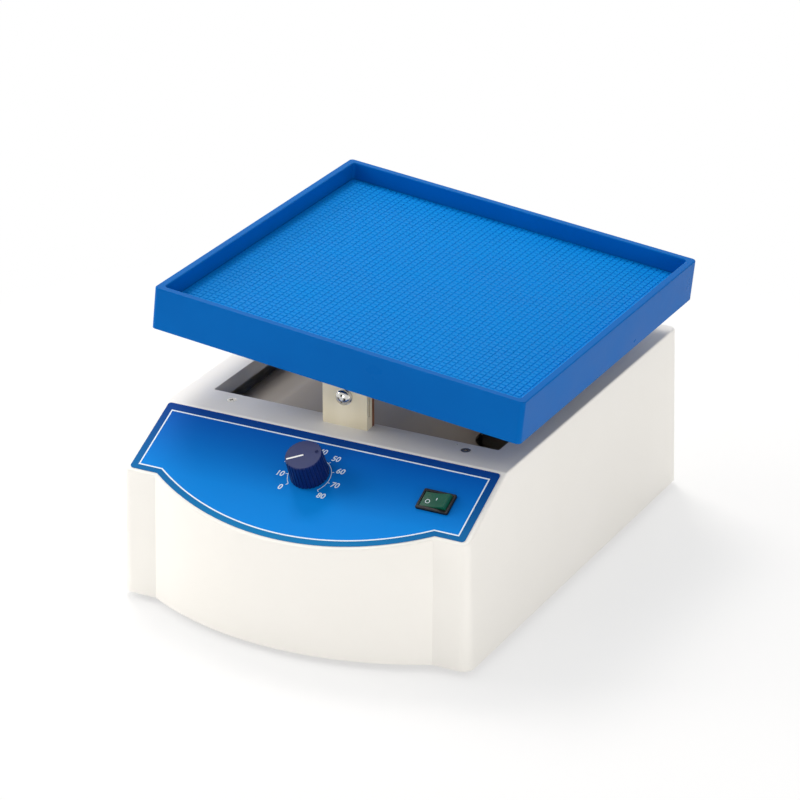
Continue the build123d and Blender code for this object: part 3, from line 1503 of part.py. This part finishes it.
with BuildPart() as transformer_core:
    with BuildSketch(Plane.XZ.offset(-core_y)):
        with Locations((core_x, plate_top + strap_sheet + core_height / 2)):
            Rectangle(core_width, core_height)
            with GridLocations((core_width - core_leg) / 2 + core_leg / 2, 0, 2, 1):
                Rectangle(
                    (core_width - 4 * core_leg) / 2, core_height - 2 * core_leg, mode=Mode.SUBTRACT
                )
    extrude(amount=core_stack / 2, both=True)
    with BuildSketch(Plane.XY.offset(plate_top)):
        with Locations((core_x, core_y)):
            Rectangle(core_width + 2 * strap_ear, core_stack - 2 * strap_sheet)
        with Locations(*ear_places):
            Circle(small_shank_radius + hole_gap, mode=Mode.SUBTRACT)
    extrude(amount=strap_sheet)
finish(transformer_core, "transformer_core")

with BuildPart() as transformer_coil:
    coil_height = core_height - 2 * core_leg - 2 * hole_gap
    with BuildSketch(Plane.XY.offset(plate_top + strap_sheet + core_leg + hole_gap)):
        with Locations((core_x, core_y)):
            RectangleRounded(
                core_width - 2 * core_leg - 2 * hole_gap, core_stack + 2 * coil_overhang, coil_corner
            )
            Rectangle(2 * core_leg + 2 * hole_gap, core_stack + 2 * hole_gap, mode=Mode.SUBTRACT)
    extrude(amount=coil_height)
finish(transformer_coil, "transformer_coil")

with BuildPart() as chassis_screws:
    for places, seat, bite in (
        (standoff_places, board_top, board_thickness + standoff_height + plate_sheet),
        (ear_places, plate_top + strap_sheet, strap_sheet + plate_sheet),
    ):
        with Locations(*[(x, y, seat) for x, y in places]):
            add(cross_screw(small_shank_radius, bite, small_head_radius, small_head_height))
finish(chassis_screws, "chassis_screws")
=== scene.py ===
import math

import bpy
from mathutils import Matrix, Vector
from mathutils.bvhtree import BVHTree


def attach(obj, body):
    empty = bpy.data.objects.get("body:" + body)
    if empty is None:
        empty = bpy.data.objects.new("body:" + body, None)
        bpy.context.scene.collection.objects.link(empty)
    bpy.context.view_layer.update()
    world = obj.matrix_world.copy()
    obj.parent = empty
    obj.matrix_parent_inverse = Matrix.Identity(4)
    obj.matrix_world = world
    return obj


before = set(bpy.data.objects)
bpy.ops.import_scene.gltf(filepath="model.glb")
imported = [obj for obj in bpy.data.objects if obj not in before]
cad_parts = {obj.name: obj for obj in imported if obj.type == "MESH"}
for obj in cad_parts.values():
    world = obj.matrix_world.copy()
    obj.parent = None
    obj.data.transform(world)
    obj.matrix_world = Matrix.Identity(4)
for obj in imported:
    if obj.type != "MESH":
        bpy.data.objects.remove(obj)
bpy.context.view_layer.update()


# The casing is one injection moulding in warm white ABS, with a fine spark-eroded grain.
# The mould leaves it satin, so it shows soft highlights along its edges and never a mirror.
def linear(code):
    """The linear colour that a shader takes, from an sRGB hex value."""
    shares = [int(code[i : i + 2], 16) / 255 for i in (1, 3, 5)]
    return [s / 12.92 if s <= 0.04045 else ((s + 0.055) / 1.055) ** 2.4 for s in shares] + [1]


def add(tree, kind, sockets=None, **settings):
    """Adds a node with its settings. A socket that is given another node's output is linked to it."""
    node = tree.nodes.new(kind)
    for name, value in settings.items():
        setattr(node, name, value)
    for name, value in (sockets or {}).items():
        if isinstance(value, bpy.types.NodeSocket):
            tree.links.new(value, node.inputs[name])
        else:
            node.inputs[name].default_value = value
    return node


def surface(name, light, dark, patch, rough, grain, height, stretch=(1, 1, 1), fixed=None):
    """A material whose colour and gloss drift over patches, with a grain that catches the light.

    Patch, grain and height are in millimetres. The grain is drawn coarser than the real one,
    which is too fine to show."""
    noise_low = 0.3
    noise_high = 0.7
    material = bpy.data.materials.new(name)
    material.use_nodes = True
    tree = material.node_tree
    shader = tree.nodes["Principled BSDF"]
    for socket, value in (fixed or {}).items():
        shader.inputs[socket].default_value = value
    place = add(tree, "ShaderNodeTexCoord").outputs["Object"]
    pulled = add(tree, "ShaderNodeMapping", {"Vector": place, "Scale": stretch}).outputs[0]
    patches = add(tree, "ShaderNodeTexNoise", {"Vector": pulled, "Scale": 1000 / patch, "Detail": 4})
    grains = add(tree, "ShaderNodeTexNoise", {"Vector": pulled, "Scale": 1000 / grain, "Detail": 2})
    tone = add(
        tree,
        "ShaderNodeMix",
        {"Factor": patches.outputs["Fac"], 6: linear(dark), 7: linear(light)},
        data_type="RGBA",
    )
    gloss = add(
        tree,
        "ShaderNodeMapRange",
        {
            "Value": patches.outputs["Fac"],
            "From Min": noise_low,
            "From Max": noise_high,
            "To Min": rough[0],
            "To Max": rough[1],
        },
    )
    relief = add(
        tree,
        "ShaderNodeBump",
        {"Height": grains.outputs["Fac"], "Distance": height / 1000, "Strength": 1.0},
    )
    tree.links.new(tone.outputs[2], shader.inputs["Base Color"])
    tree.links.new(gloss.outputs[0], shader.inputs["Roughness"])
    tree.links.new(relief.outputs[0], shader.inputs["Normal"])
    return material


def dress(material, *nodes):
    """Gives CAD nodes their finish."""
    for name in nodes:
        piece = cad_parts[name]
        if not piece.material_slots:
            piece.data.materials.append(material)
        for place in piece.material_slots:
            place.material = material


casing_abs = surface(
    "moulded_abs_casing",
    light="#F8F6F2",
    dark="#F2F0EA",
    patch=70,
    rough=(0.42, 0.54),
    grain=1.2,
    height=0.012,
    fixed={"IOR": 1.5},
)
dress(casing_abs, "housing_shell")


# The pan, the motor's bracket, the base plate and the tray's carrier and lug are pressed from
# zinc-plated sheet steel. Rolling leaves long faint streaks, and the plating a grey shine that
# blurs what it mirrors.
plated_sheet = surface(
    "zinc_plated_sheet",
    light="#B8AFA4",
    dark="#9A9188",
    patch=18,
    rough=(0.28, 0.44),
    grain=1.5,
    height=0.012,
    stretch=(1, 0.12, 1),
    fixed={"Metallic": 1.0},
)
dress(plated_sheet, "chassis_pan", "motor_bracket", "bottom_plate", "tray_carrier", "drive_lug")


# Screws, washers, pins and clips are turned or headed steel with bright nickel plate.
# They are small and polished, so they show as sharp points of white and black.
bright_plate = surface(
    "nickel_plated_steel",
    light="#D9D8D4",
    dark="#BEBCB8",
    patch=4,
    rough=(0.14, 0.26),
    grain=0.6,
    height=0.004,
    fixed={"Metallic": 1.0},
)
dress(
    bright_plate,
    "deck_screws",
    "pivot_screws",
    "pivot_washers",
    "block_screws",
    "tray_screws",
    "lug_rivets",
    "lug_pin",
    "lug_clip",
    "crank_pin_screw",
    "crank_pin_spacer",
    "gearbox_screws",
    "bracket_screws",
    "pot_nut",
    "foot_screws",
    "plate_screws",
    "inlet_screws",
    "chassis_screws",
    "switch_tabs",
)


# The two pivot blocks are cream nylon, faced on a mill and screwed to the deck from below.
# Nylon lets a little light in, so its edges glow, and the cutter leaves fine upright lines.
nylon = surface(
    "milled_cream_nylon",
    light="#EFE8D2",
    dark="#DDD3B8",
    patch=12,
    rough=(0.38, 0.52),
    grain=1.0,
    height=0.02,
    stretch=(1, 1, 0.15),
    fixed={"IOR": 1.53, "Subsurface Weight": 0.15, "Subsurface Radius": (0.004, 0.003, 0.002)},
)
dress(nylon, "front_pivot_block", "rear_pivot_block")


# Tapped plates of pressed brown laminate lie behind the blocks. Their dark brown is painted shade,
# standing in for the shaded strip along the back of each block. The sleeves that the tray's tongues
# hang on and the rod's bush are sintered bronze. The laminate's layers show as faint darker lines
# along its edge, and the bronze is dull.
laminate_with_painted_shade = surface(
    "brown_laminate_painted_shade",
    light="#8A5A3C",
    dark="#6B4128",
    patch=6,
    rough=(0.4, 0.55),
    grain=0.8,
    height=0.02,
    stretch=(1, 1, 4),
    fixed={"IOR": 1.55},
)
dress(laminate_with_painted_shade, "pivot_nut_plates")
bronze = surface(
    "sintered_bronze",
    light="#B98D5A",
    dark="#9A7040",
    patch=2,
    rough=(0.35, 0.5),
    grain=0.5,
    height=0.01,
    fixed={"Metallic": 1.0},
)
dress(bronze, "pivot_sleeves", "rod_bush")


# The tray is a thick blue ABS moulding with rounded edges, screwed to its steel carrier.
# The mould's skin ripples a little over its span, so what it mirrors breaks into soft blotches.
tray_abs = surface(
    "glossy_blue_abs",
    light="#0068BA",
    dark="#005CAC",
    patch=45,
    rough=(0.26, 0.4),
    grain=14,
    height=0.06,
    fixed={"IOR": 1.5, "Specular IOR Level": 0.04},
)
dress(tray_abs, "tray_shell")


# A sheet of soft blue vinyl lies in the tray, embossed with a waffle of small squares.
# The squares stand a little proud, and the grooves between them stay in shade.
mat_pitch = 0.004
mat_square = 0.0034
mat_height = 0.0004
mat_top = 0.031
mat_lift = 0.00001
mat_width = 0.236
mat_depth = 0.239
half_diagonal = 0.7071
crown_share = 0.82
tray_tilt = math.radians(6)
tray_axis = Vector((0, 0.0255, 0.1295))

mat_vinyl = surface(
    "embossed_blue_vinyl",
    light="#008ADC",
    dark="#007FD2",
    patch=30,
    rough=(0.45, 0.6),
    grain=1.5,
    height=0.01,
    fixed={"IOR": 1.52, "Specular IOR Level": 0.05},
)
dress(mat_vinyl, "anti_slip_mat")

waffle = bpy.data.node_groups.new("mat_waffle", "GeometryNodeTree")
for label in ("Width", "Depth", "Pitch", "Square", "Height"):
    waffle.interface.new_socket(label, in_out="INPUT", socket_type="NodeSocketFloat")
waffle.interface.new_socket("Material", in_out="INPUT", socket_type="NodeSocketMaterial")
waffle.interface.new_socket("Geometry", in_out="OUTPUT", socket_type="NodeSocketGeometry")

given = add(waffle, "NodeGroupInput").outputs
across = add(waffle, "ShaderNodeMath", {0: given["Width"], 1: given["Pitch"]}, operation="DIVIDE")
along = add(waffle, "ShaderNodeMath", {0: given["Depth"], 1: given["Pitch"]}, operation="DIVIDE")
points = add(
    waffle,
    "GeometryNodeMeshGrid",
    {
        "Size X": given["Width"],
        "Size Y": given["Depth"],
        "Vertices X": across.outputs[0],
        "Vertices Y": along.outputs[0],
    },
)
foot = add(waffle, "ShaderNodeMath", {0: given["Square"], 1: half_diagonal}, operation="MULTIPLY")
crown = add(waffle, "ShaderNodeMath", {0: foot.outputs[0], 1: crown_share}, operation="MULTIPLY")
square = add(
    waffle,
    "GeometryNodeMeshCone",
    {
        "Vertices": 4,
        "Radius Top": crown.outputs[0],
        "Radius Bottom": foot.outputs[0],
        "Depth": given["Height"],
    },
)
turned = add(
    waffle, "GeometryNodeTransform", {"Geometry": square.outputs[0], "Rotation": (0, 0, math.pi / 4)}
)
placed = add(
    waffle, "GeometryNodeInstanceOnPoints", {"Points": points.outputs[0], "Instance": turned.outputs[0]}
)
real = add(waffle, "GeometryNodeRealizeInstances", {"Geometry": placed.outputs[0]})
dyed = add(waffle, "GeometryNodeSetMaterial", {"Geometry": real.outputs[0], "Material": given["Material"]})
add(waffle, "NodeGroupOutput", {"Geometry": dyed.outputs[0]})


def plain_mesh(name, group, values):
    """Runs a geometry tree with these inputs and returns its result as a plain mesh object."""
    carrier = bpy.data.objects.new(name, bpy.data.meshes.new(name))
    bpy.context.scene.collection.objects.link(carrier)
    modifier = carrier.modifiers.new("tree", "NODES")
    modifier.node_group = group
    for item in group.interface.items_tree:
        if item.in_out == "INPUT":
            modifier[item.identifier] = values[item.name]
    graph = bpy.context.evaluated_depsgraph_get()
    mesh = bpy.data.meshes.new_from_object(carrier.evaluated_get(graph), depsgraph=graph)
    carrier.modifiers.clear()
    carrier.data = mesh
    return carrier


squares = plain_mesh(
    "mat_squares",
    waffle,
    {
        "Width": mat_width - mat_pitch,
        "Depth": mat_depth - mat_pitch,
        "Pitch": mat_pitch,
        "Square": mat_square,
        "Height": mat_height,
        "Material": mat_vinyl,
    },
)
on_tray = Matrix.Translation(tray_axis) @ Matrix.Rotation(tray_tilt, 4, "Y")
squares.data.transform(on_tray @ Matrix.Translation((0, 0, mat_top + mat_lift)))
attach(squares, "tray")


# The connecting rod, the crank and the heat sink are die-cast aluminium, and the rod turns on a
# ground steel ball bearing in its big eye. Castings keep a dull skin with a fine orange peel, and
# the ground races are brighter.
cast = surface(
    "die_cast_aluminium",
    light="#B7B9BA",
    dark="#9C9EA0",
    patch=5,
    rough=(0.36, 0.55),
    grain=0.9,
    height=0.03,
    fixed={"Metallic": 1.0},
)
dress(cast, "connecting_rod", "crank_disc", "board_heatsink")
bearing_steel = surface(
    "ground_bearing_steel",
    light="#CFCFCD",
    dark="#B4B4B2",
    patch=3,
    rough=(0.12, 0.22),
    grain=0.6,
    height=0.003,
    fixed={"Metallic": 1.0},
)
dress(bearing_steel, "bearing_rings", "bearing_balls", "output_shaft")


# The gear motor has a zinc-cast gearbox, screwed to its bracket, and a drawn steel can behind it.
# Zinc is bluish and grainy, while the can is darker and has faint rings from drawing. The two set
# screws are blackened steel, which is nearly matt.
zinc_cast = surface(
    "zinc_die_casting",
    light="#9EA2A8",
    dark="#858A91",
    patch=7,
    rough=(0.4, 0.58),
    grain=1.0,
    height=0.03,
    fixed={"Metallic": 1.0},
)
dress(zinc_cast, "gearbox_housing")
drawn_can = surface(
    "drawn_steel_can",
    light="#7F8184",
    dark="#66686B",
    patch=9,
    rough=(0.34, 0.5),
    grain=1.2,
    height=0.01,
    stretch=(1, 8, 1),
    fixed={"Metallic": 1.0},
)
dress(drawn_can, "motor_can")
blackened = surface(
    "blackened_steel",
    light="#2C2D2F",
    dark="#1B1C1E",
    patch=3,
    rough=(0.3, 0.45),
    grain=0.6,
    height=0.006,
    fixed={"Metallic": 0.9},
)
dress(blackened, "crank_set_screw", "knob_set_screw")


# The control overlay is a polyester film stuck on the slope, printed in two blues with a pale line
# between them. The ink lies on the back of the film, so the blue is deep and even. Both blues are
# drawn darker towards the top of the slope.
slope_rise = 0.025
slope_run = 0.051
front_bulge = 0.0245
slope_angle = math.atan2(slope_rise, slope_run)
crease = Vector((0, -0.095, 0.110))
down_slope = Vector((0, -math.cos(slope_angle), -math.sin(slope_angle)))
out_of_slope = Vector((0, -math.sin(slope_angle), math.cos(slope_angle)))
film_top = 0.0005
field_lift = 0.00003
overlay_half = 0.112
overlay_top = 0.002
tab_drop = 0.0552
tab_half = 0.093
line_inset_top = 0.0056
line_inset_side = 0.005
line_inset_tab = 0.0036
line_inset_arc = 0.004
arc_steps = 48
sagitta = front_bulge / math.cos(slope_angle)
arc_radius = (tab_half**2 + sagitta**2) / (2 * sagitta)
arc_centre = tab_drop + sagitta - arc_radius


def slope_point(x, drop, rise):
    """A point on the slope, from its crease down and out of its face."""
    return crease + Vector((x, 0, 0)) + down_slope * drop + out_of_slope * rise


def field_outline():
    """The line's path inside the overlay's edge, as x and drop, all the way round."""
    side = overlay_half - line_inset_side
    top_drop = overlay_top + line_inset_top
    foot_drop = tab_drop - line_inset_tab
    radius = arc_radius - line_inset_arc
    reach = math.sqrt(radius**2 - (foot_drop - arc_centre) ** 2)
    swing = math.asin(reach / radius)
    angles = [swing - 2 * swing * i / arc_steps for i in range(arc_steps + 1)]
    arc = [(radius * math.sin(angle), arc_centre + radius * math.cos(angle)) for angle in angles]
    return [(-side, top_drop), (side, top_drop), (side, foot_drop), *arc, (-side, foot_drop)]


def mesh_piece(name, points, faces, material, body):
    """Makes a piece of these points and faces that rides on a body."""
    mesh = bpy.data.meshes.new(name)
    mesh.from_pydata([tuple(p) for p in points], [], faces)
    mesh.materials.append(material)
    piece = bpy.data.objects.new(name, mesh)
    bpy.context.scene.collection.objects.link(piece)
    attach(piece, body)


def printed_film(name, light, dark, top, low, high):
    """Film whose colour turns to the top colour between two heights above the bench."""
    film = surface(
        name,
        light,
        dark,
        patch=40,
        rough=(0.5, 0.6),
        grain=2.5,
        height=0.001,
        fixed={"IOR": 1.5, "Specular IOR Level": 0.06},
    )
    tree = film.node_tree
    colour = tree.nodes["Principled BSDF"].inputs["Base Color"]
    place = add(tree, "ShaderNodeTexCoord").outputs["Object"]
    level = add(tree, "ShaderNodeSeparateXYZ", {"Vector": place}).outputs["Z"]
    fade = add(tree, "ShaderNodeMapRange", {"Value": level, "From Min": low, "From Max": high})
    blend = add(
        tree,
        "ShaderNodeMix",
        {"Factor": fade.outputs[0], 6: colour.links[0].from_socket, 7: linear(top)},
        data_type="RGBA",
    )
    tree.links.new(blend.outputs[2], colour)
    return film


film_band = printed_film(
    "printed_film_band", light="#147CB8", dark="#1076B0", top="#083C8C", low=0.074, high=0.110
)
dress(film_band, "control_overlay")

film_field = printed_film(
    "printed_film_field", light="#0086E0", dark="#0080DA", top="#0046A8", low=0.087, high=0.113
)
field_edge = field_outline()
mesh_piece(
    "overlay_field",
    [slope_point(x, drop, film_top + field_lift) for x, drop in field_edge],
    [list(range(len(field_edge)))],
    film_field,
    "base",
)


# The pale line, the dial's arc and ticks and its numbers are white ink, screen printed on the film.
# Screen ink lies in a thin even coat, matt beside the film, with a trace of blue showing through.
ink_lift = 0.00006
line_width = 0.0009
dial_drop = 0.0328
dial_arc = 0.0134
dial_arc_width = 0.0004
dial_arc_steps = 72
dial_sweep = 133
dial_spaces = 8
dial_count_by = 10
tick_length = 0.0016
tick_width = 0.00045
number_radius = 0.0187
number_size = 0.0054
number_boldness = 0.0001
number_slant = 0.15
sharpest_turn = 0.3

ink = surface(
    "white_screen_ink",
    light="#EAF3FA",
    dark="#D5E6F4",
    patch=3,
    rough=(0.45, 0.6),
    grain=0.8,
    height=0.006,
    fixed={"IOR": 1.5},
)


def ribbon(path, width, closed):
    """Points and faces of a flat band of this width along a path of x and drop."""
    count = len(path)
    points = []
    for i, (x, drop) in enumerate(path):
        before = path[i - 1] if closed or i > 0 else path[i]
        after = path[(i + 1) % count] if closed or i < count - 1 else path[i]
        along_in = Vector((x - before[0], drop - before[1]))
        along_out = Vector((after[0] - x, after[1] - drop))
        along_in = along_in.normalized() if along_in.length else along_out.normalized()
        along_out = along_out.normalized() if along_out.length else along_in
        middle = (along_in + along_out).normalized()
        across_path = Vector((-middle.y, middle.x)) * (width / 2) / max(middle.dot(along_in), sharpest_turn)
        points += [(x + across_path.x, drop + across_path.y), (x - across_path.x, drop - across_path.y)]
    faces = []
    for i in range(count if closed else count - 1):
        j = (i + 1) % count
        faces.append([2 * i, 2 * i + 1, 2 * j + 1, 2 * j])
    return points, faces


def on_dial(angle, radius):
    """x and drop of a point on the dial, its angle in degrees clockwise from up the slope."""
    turn = math.radians(angle)
    return radius * math.sin(turn), dial_drop - radius * math.cos(turn)


def dial_number(text, x, drop):
    """Points and faces of a slanted number with its middle at this x and drop."""
    words = bpy.data.curves.new("dial_number", "FONT")
    words.body = text
    words.size = number_size
    words.offset = number_boldness
    words.align_x = "CENTER"
    words.align_y = "CENTER"
    words.shear = number_slant
    holder = bpy.data.objects.new("dial_number", words)
    bpy.context.scene.collection.objects.link(holder)
    bpy.context.view_layer.update()
    flat = bpy.data.meshes.new_from_object(holder)
    bpy.data.objects.remove(holder)
    points = [(x + v.co.x, drop - v.co.y) for v in flat.vertices]
    return points, [list(face.vertices) for face in flat.polygons]


dial_angles = [-dial_sweep + 2 * dial_sweep * i / dial_arc_steps for i in range(dial_arc_steps + 1)]
tick_angles = [-dial_sweep + 2 * dial_sweep * i / dial_spaces for i in range(dial_spaces + 1)]
prints = [ribbon(field_edge, line_width, True)]
prints.append(ribbon([on_dial(angle, dial_arc) for angle in dial_angles], dial_arc_width, False))
for angle in tick_angles:
    tick = [on_dial(angle, dial_arc), on_dial(angle, dial_arc + tick_length)]
    prints.append(ribbon(tick, tick_width, False))
for step, angle in enumerate(tick_angles):
    prints.append(dial_number(str(dial_count_by * step), *on_dial(angle, number_radius)))
print_points = []
print_faces = []
for flat_points, faces in prints:
    offset = len(print_points)
    print_points += [slope_point(x, drop, film_top + ink_lift) for x, drop in flat_points]
    print_faces += [[offset + i for i in face] for face in faces]
mesh_piece("overlay_print", print_points, print_faces, ink, "base")


# The speed knob is a fluted cap of dark blue ABS, held on the potentiometer's shaft by a set screw.
# Its flutes and rim are polished in the mould, and the white pointer is a separate inlay. The shaft
# and the blades of the mains inlet are brass.
knob_abs = surface(
    "polished_navy_abs",
    light="#082060",
    dark="#061A50",
    patch=8,
    rough=(0.3, 0.42),
    grain=0.9,
    height=0.004,
    fixed={"IOR": 1.5, "Specular IOR Level": 0.25},
)
dress(knob_abs, "speed_knob")
inlay = surface(
    "white_abs_inlay",
    light="#F4F5F3",
    dark="#E6E8E8",
    patch=3,
    rough=(0.35, 0.5),
    grain=0.8,
    height=0.006,
    fixed={"IOR": 1.5},
)
dress(inlay, "knob_pointer")
brass = surface(
    "machined_brass",
    light="#D4B469",
    dark="#B89448",
    patch=3,
    rough=(0.22, 0.36),
    grain=0.5,
    height=0.006,
    fixed={"Metallic": 1.0},
)
dress(brass, "pot_shaft", "inlet_pins")


# The power switch is a black nylon frame snapped into the slope, with a dark green rocker. The
# mains inlet, its fuse drawer and the potentiometer's body are black mouldings too. The rocker is
# tinted polycarbonate, so a little light enters it and its edges are brighter than its face.
switch_nylon = surface(
    "moulded_black_nylon",
    light="#0C0D14",
    dark="#07080D",
    patch=6,
    rough=(0.34, 0.46),
    grain=0.7,
    height=0.005,
    fixed={"IOR": 1.53, "Specular IOR Level": 0.25},
)
dress(switch_nylon, "switch_frame", "inlet_socket", "fuse_drawer", "speed_pot_body")
tinted = surface(
    "tinted_green_polycarbonate",
    light="#0C5E44",
    dark="#084A38",
    patch=5,
    rough=(0.3, 0.4),
    grain=1.0,
    height=0.003,
    fixed={"IOR": 1.58, "Transmission Weight": 0.1, "Specular IOR Level": 0.2},
)
dress(tinted, "switch_rocker")


# The O and the dash on the rocker are the same white ink, printed on its curved face, so they
# bend with it. They are laid on it along the slope's normal.
circle_place = (0.0789, 0.0335)
circle_radius = 0.0013
circle_width = 0.0004
circle_steps = 32
dash_x = 0.0840
dash_drops = (0.0304, 0.0320)
dash_width = 0.00045
mark_lift = 0.00005
ray_start = 0.03
missed_rise = 0.004

turns = [math.tau * i / circle_steps for i in range(circle_steps)]
circle = [
    (circle_place[0] + circle_radius * math.cos(turn), circle_place[1] + circle_radius * math.sin(turn))
    for turn in turns
]
marks = [
    ribbon(circle, circle_width, True),
    ribbon([(dash_x, drop) for drop in dash_drops], dash_width, False),
]
rocker_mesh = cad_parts["switch_rocker"].data
rocker_tree = BVHTree.FromPolygons(
    [v.co for v in rocker_mesh.vertices], [p.vertices for p in rocker_mesh.polygons]
)
mark_points = []
mark_faces = []
for flat_points, faces in marks:
    offset = len(mark_points)
    for x, drop in flat_points:
        above = slope_point(x, drop, ray_start)
        hit = rocker_tree.ray_cast(above, -out_of_slope)[0] or slope_point(x, drop, missed_rise)
        mark_points.append(hit + out_of_slope * mark_lift)
    mark_faces += [[offset + i for i in face] for face in faces]
mesh_piece("rocker_marks", mark_points, mark_faces, ink, "rocker")


# The four feet are moulded black rubber, screwed to the base plate, and they grip the bench.
# Rubber has almost no shine, so only the feet's edges show a soft grey rim.
rubber = surface(
    "black_rubber",
    light="#26272A",
    dark="#191A1C",
    patch=5,
    rough=(0.7, 0.85),
    grain=0.9,
    height=0.03,
    fixed={"IOR": 1.52},
)
dress(rubber, "rubber_feet")


# The control board is green glass laminate on four standoffs, with soldered plastic parts, and the
# transformer is screwed down beside it. Resist on the board is glossy and mottled over copper, the
# core shows its stacked sheets, the coil its yellow tape, and the fuse is a clear glass tube.
resist = surface(
    "green_board_resist",
    light="#1F7A45",
    dark="#14613A",
    patch=3,
    rough=(0.25, 0.4),
    grain=0.8,
    height=0.01,
    fixed={"IOR": 1.55, "Coat Weight": 0.3, "Coat Roughness": 0.15},
)
dress(resist, "control_board")
part_plastic = surface(
    "moulded_part_plastic",
    light="#2B3A4E",
    dark="#202C3D",
    patch=5,
    rough=(0.35, 0.5),
    grain=0.7,
    height=0.01,
    fixed={"IOR": 1.5},
)
dress(part_plastic, "board_capacitor", "terminal_block", "board_standoffs")
stack = surface(
    "stacked_core_sheets",
    light="#6A6C70",
    dark="#4E5055",
    patch=6,
    rough=(0.4, 0.6),
    grain=0.7,
    height=0.03,
    stretch=(1, 6, 1),
    fixed={"Metallic": 1.0},
)
dress(stack, "transformer_core")
tape = surface(
    "yellow_coil_tape",
    light="#D9B64A",
    dark="#C7A03A",
    patch=8,
    rough=(0.25, 0.4),
    grain=1.0,
    height=0.02,
    fixed={"IOR": 1.48, "Coat Weight": 0.2},
)
dress(tape, "transformer_coil")
glass = surface(
    "fuse_glass",
    light="#E6ECEE",
    dark="#D6DEE2",
    patch=3,
    rough=(0.05, 0.1),
    grain=1.0,
    height=0.003,
    fixed={"IOR": 1.5, "Transmission Weight": 0.8},
)
dress(glass, "fuse")


# The studio's floor is matt pale paper. Plain white is mixed into what is seen of it, a little
# over half near the object, so that its shadow stays, and all of it further out.
floor_half = 6
shadow_reach = 0.15
white_from = 0.5
white_near = 0.55


def seen_rays(tree):
    """1 for the rays that see the background: from the camera, off a gloss or through a clear piece."""
    rays = add(tree, "ShaderNodeLightPath").outputs
    mirrored = add(
        tree,
        "ShaderNodeMath",
        {0: rays["Is Glossy Ray"], 1: rays["Is Transmission Ray"]},
        operation="MAXIMUM",
    )
    seen = add(
        tree, "ShaderNodeMath", {0: rays["Is Camera Ray"], 1: mirrored.outputs[0]}, operation="MAXIMUM"
    )
    return seen.outputs[0]


floor_mesh = bpy.data.meshes.new("floor")
floor_corners = [(sx * floor_half, sy * floor_half, 0) for sx, sy in ((-1, -1), (1, -1), (1, 1), (-1, 1))]
floor_mesh.from_pydata(floor_corners, [], [[0, 1, 2, 3]])
floor = bpy.data.objects.new("floor", floor_mesh)
bpy.context.scene.collection.objects.link(floor)
paper = bpy.data.materials.new("white_paper_floor")
paper.use_nodes = True
sheet = paper.node_tree
shader = sheet.nodes["Principled BSDF"]
shader.inputs["Roughness"].default_value = 0.9
shader.inputs["Base Color"].default_value = linear("#F6F6F6")
place = add(sheet, "ShaderNodeTexCoord").outputs["Object"]
reach = add(sheet, "ShaderNodeVectorMath", {0: place}, operation="LENGTH").outputs["Value"]
away = add(
    sheet,
    "ShaderNodeMapRange",
    {"Value": reach, "From Min": shadow_reach, "From Max": white_from, "To Min": white_near, "To Max": 1.0},
)
shows = add(sheet, "ShaderNodeMath", {0: away.outputs[0], 1: seen_rays(sheet)}, operation="MULTIPLY")
white = add(sheet, "ShaderNodeEmission", {"Strength": 1.0})
mixed = add(
    sheet, "ShaderNodeMixShader", {"Fac": shows.outputs[0], 1: shader.outputs[0], 2: white.outputs[0]}
)
sheet.links.new(mixed.outputs[0], sheet.nodes["Material Output"].inputs["Surface"])
floor_mesh.materials.append(paper)


# The light: a white sky, a soft lamp behind on the left as from a window, a second one on the left,
# and two weak ones low in front and on the right. All lamps are slightly warm.
sky_level = 0.5
lamp_tint = (1.0, 0.965, 0.92)
lamp_aim = Vector((0, 0, 0.1))

world = bpy.data.worlds.new("studio_sky")
bpy.context.scene.world = world
world.use_nodes = True
sky = world.node_tree.nodes["Background"]
level = add(
    world.node_tree,
    "ShaderNodeMapRange",
    {"Value": seen_rays(world.node_tree), "To Min": sky_level, "To Max": 1.0},
)
world.node_tree.links.new(level.outputs[0], sky.inputs["Strength"])
sky.inputs["Color"].default_value = (1, 1, 1, 1)

for name, stand, size, power in (
    ("window_key", (-0.84, 0.84, 1.95), 0.8, 28),
    ("left_fill", (-1.6, -0.35, 0.9), 0.9, 16),
    ("right_fill", (1.6, -0.6, 0.18), 0.6, 8),
    ("front_fill", (-0.3, -1.8, 0.16), 0.6, 5),
):
    lamp = bpy.data.lights.new(name, "AREA")
    lamp.size = size
    lamp.energy = power
    lamp.color = lamp_tint
    holder = bpy.data.objects.new(name, lamp)
    bpy.context.scene.collection.objects.link(holder)
    holder.location = stand
    holder.rotation_euler = (lamp_aim - Vector(stand)).to_track_quat("-Z", "Y").to_euler()


# The camera stands at the photograph's viewing angle and distance, with its long lens, solved from
# the casing's straight edges.
camera_pitch = 66.041
camera_heading = 27.429

camera = bpy.data.cameras.new("camera")
camera.sensor_width = 36
camera.lens = 165.53
camera.clip_end = 50
eye = bpy.data.objects.new("camera", camera)
bpy.context.scene.collection.objects.link(eye)
eye.location = (0.9527, -1.8443, 1.0179)
eye.rotation_euler = (math.radians(camera_pitch), 0, math.radians(camera_heading))
bpy.context.scene.camera = eye
bpy.context.scene.view_settings.view_transform = "Standard"
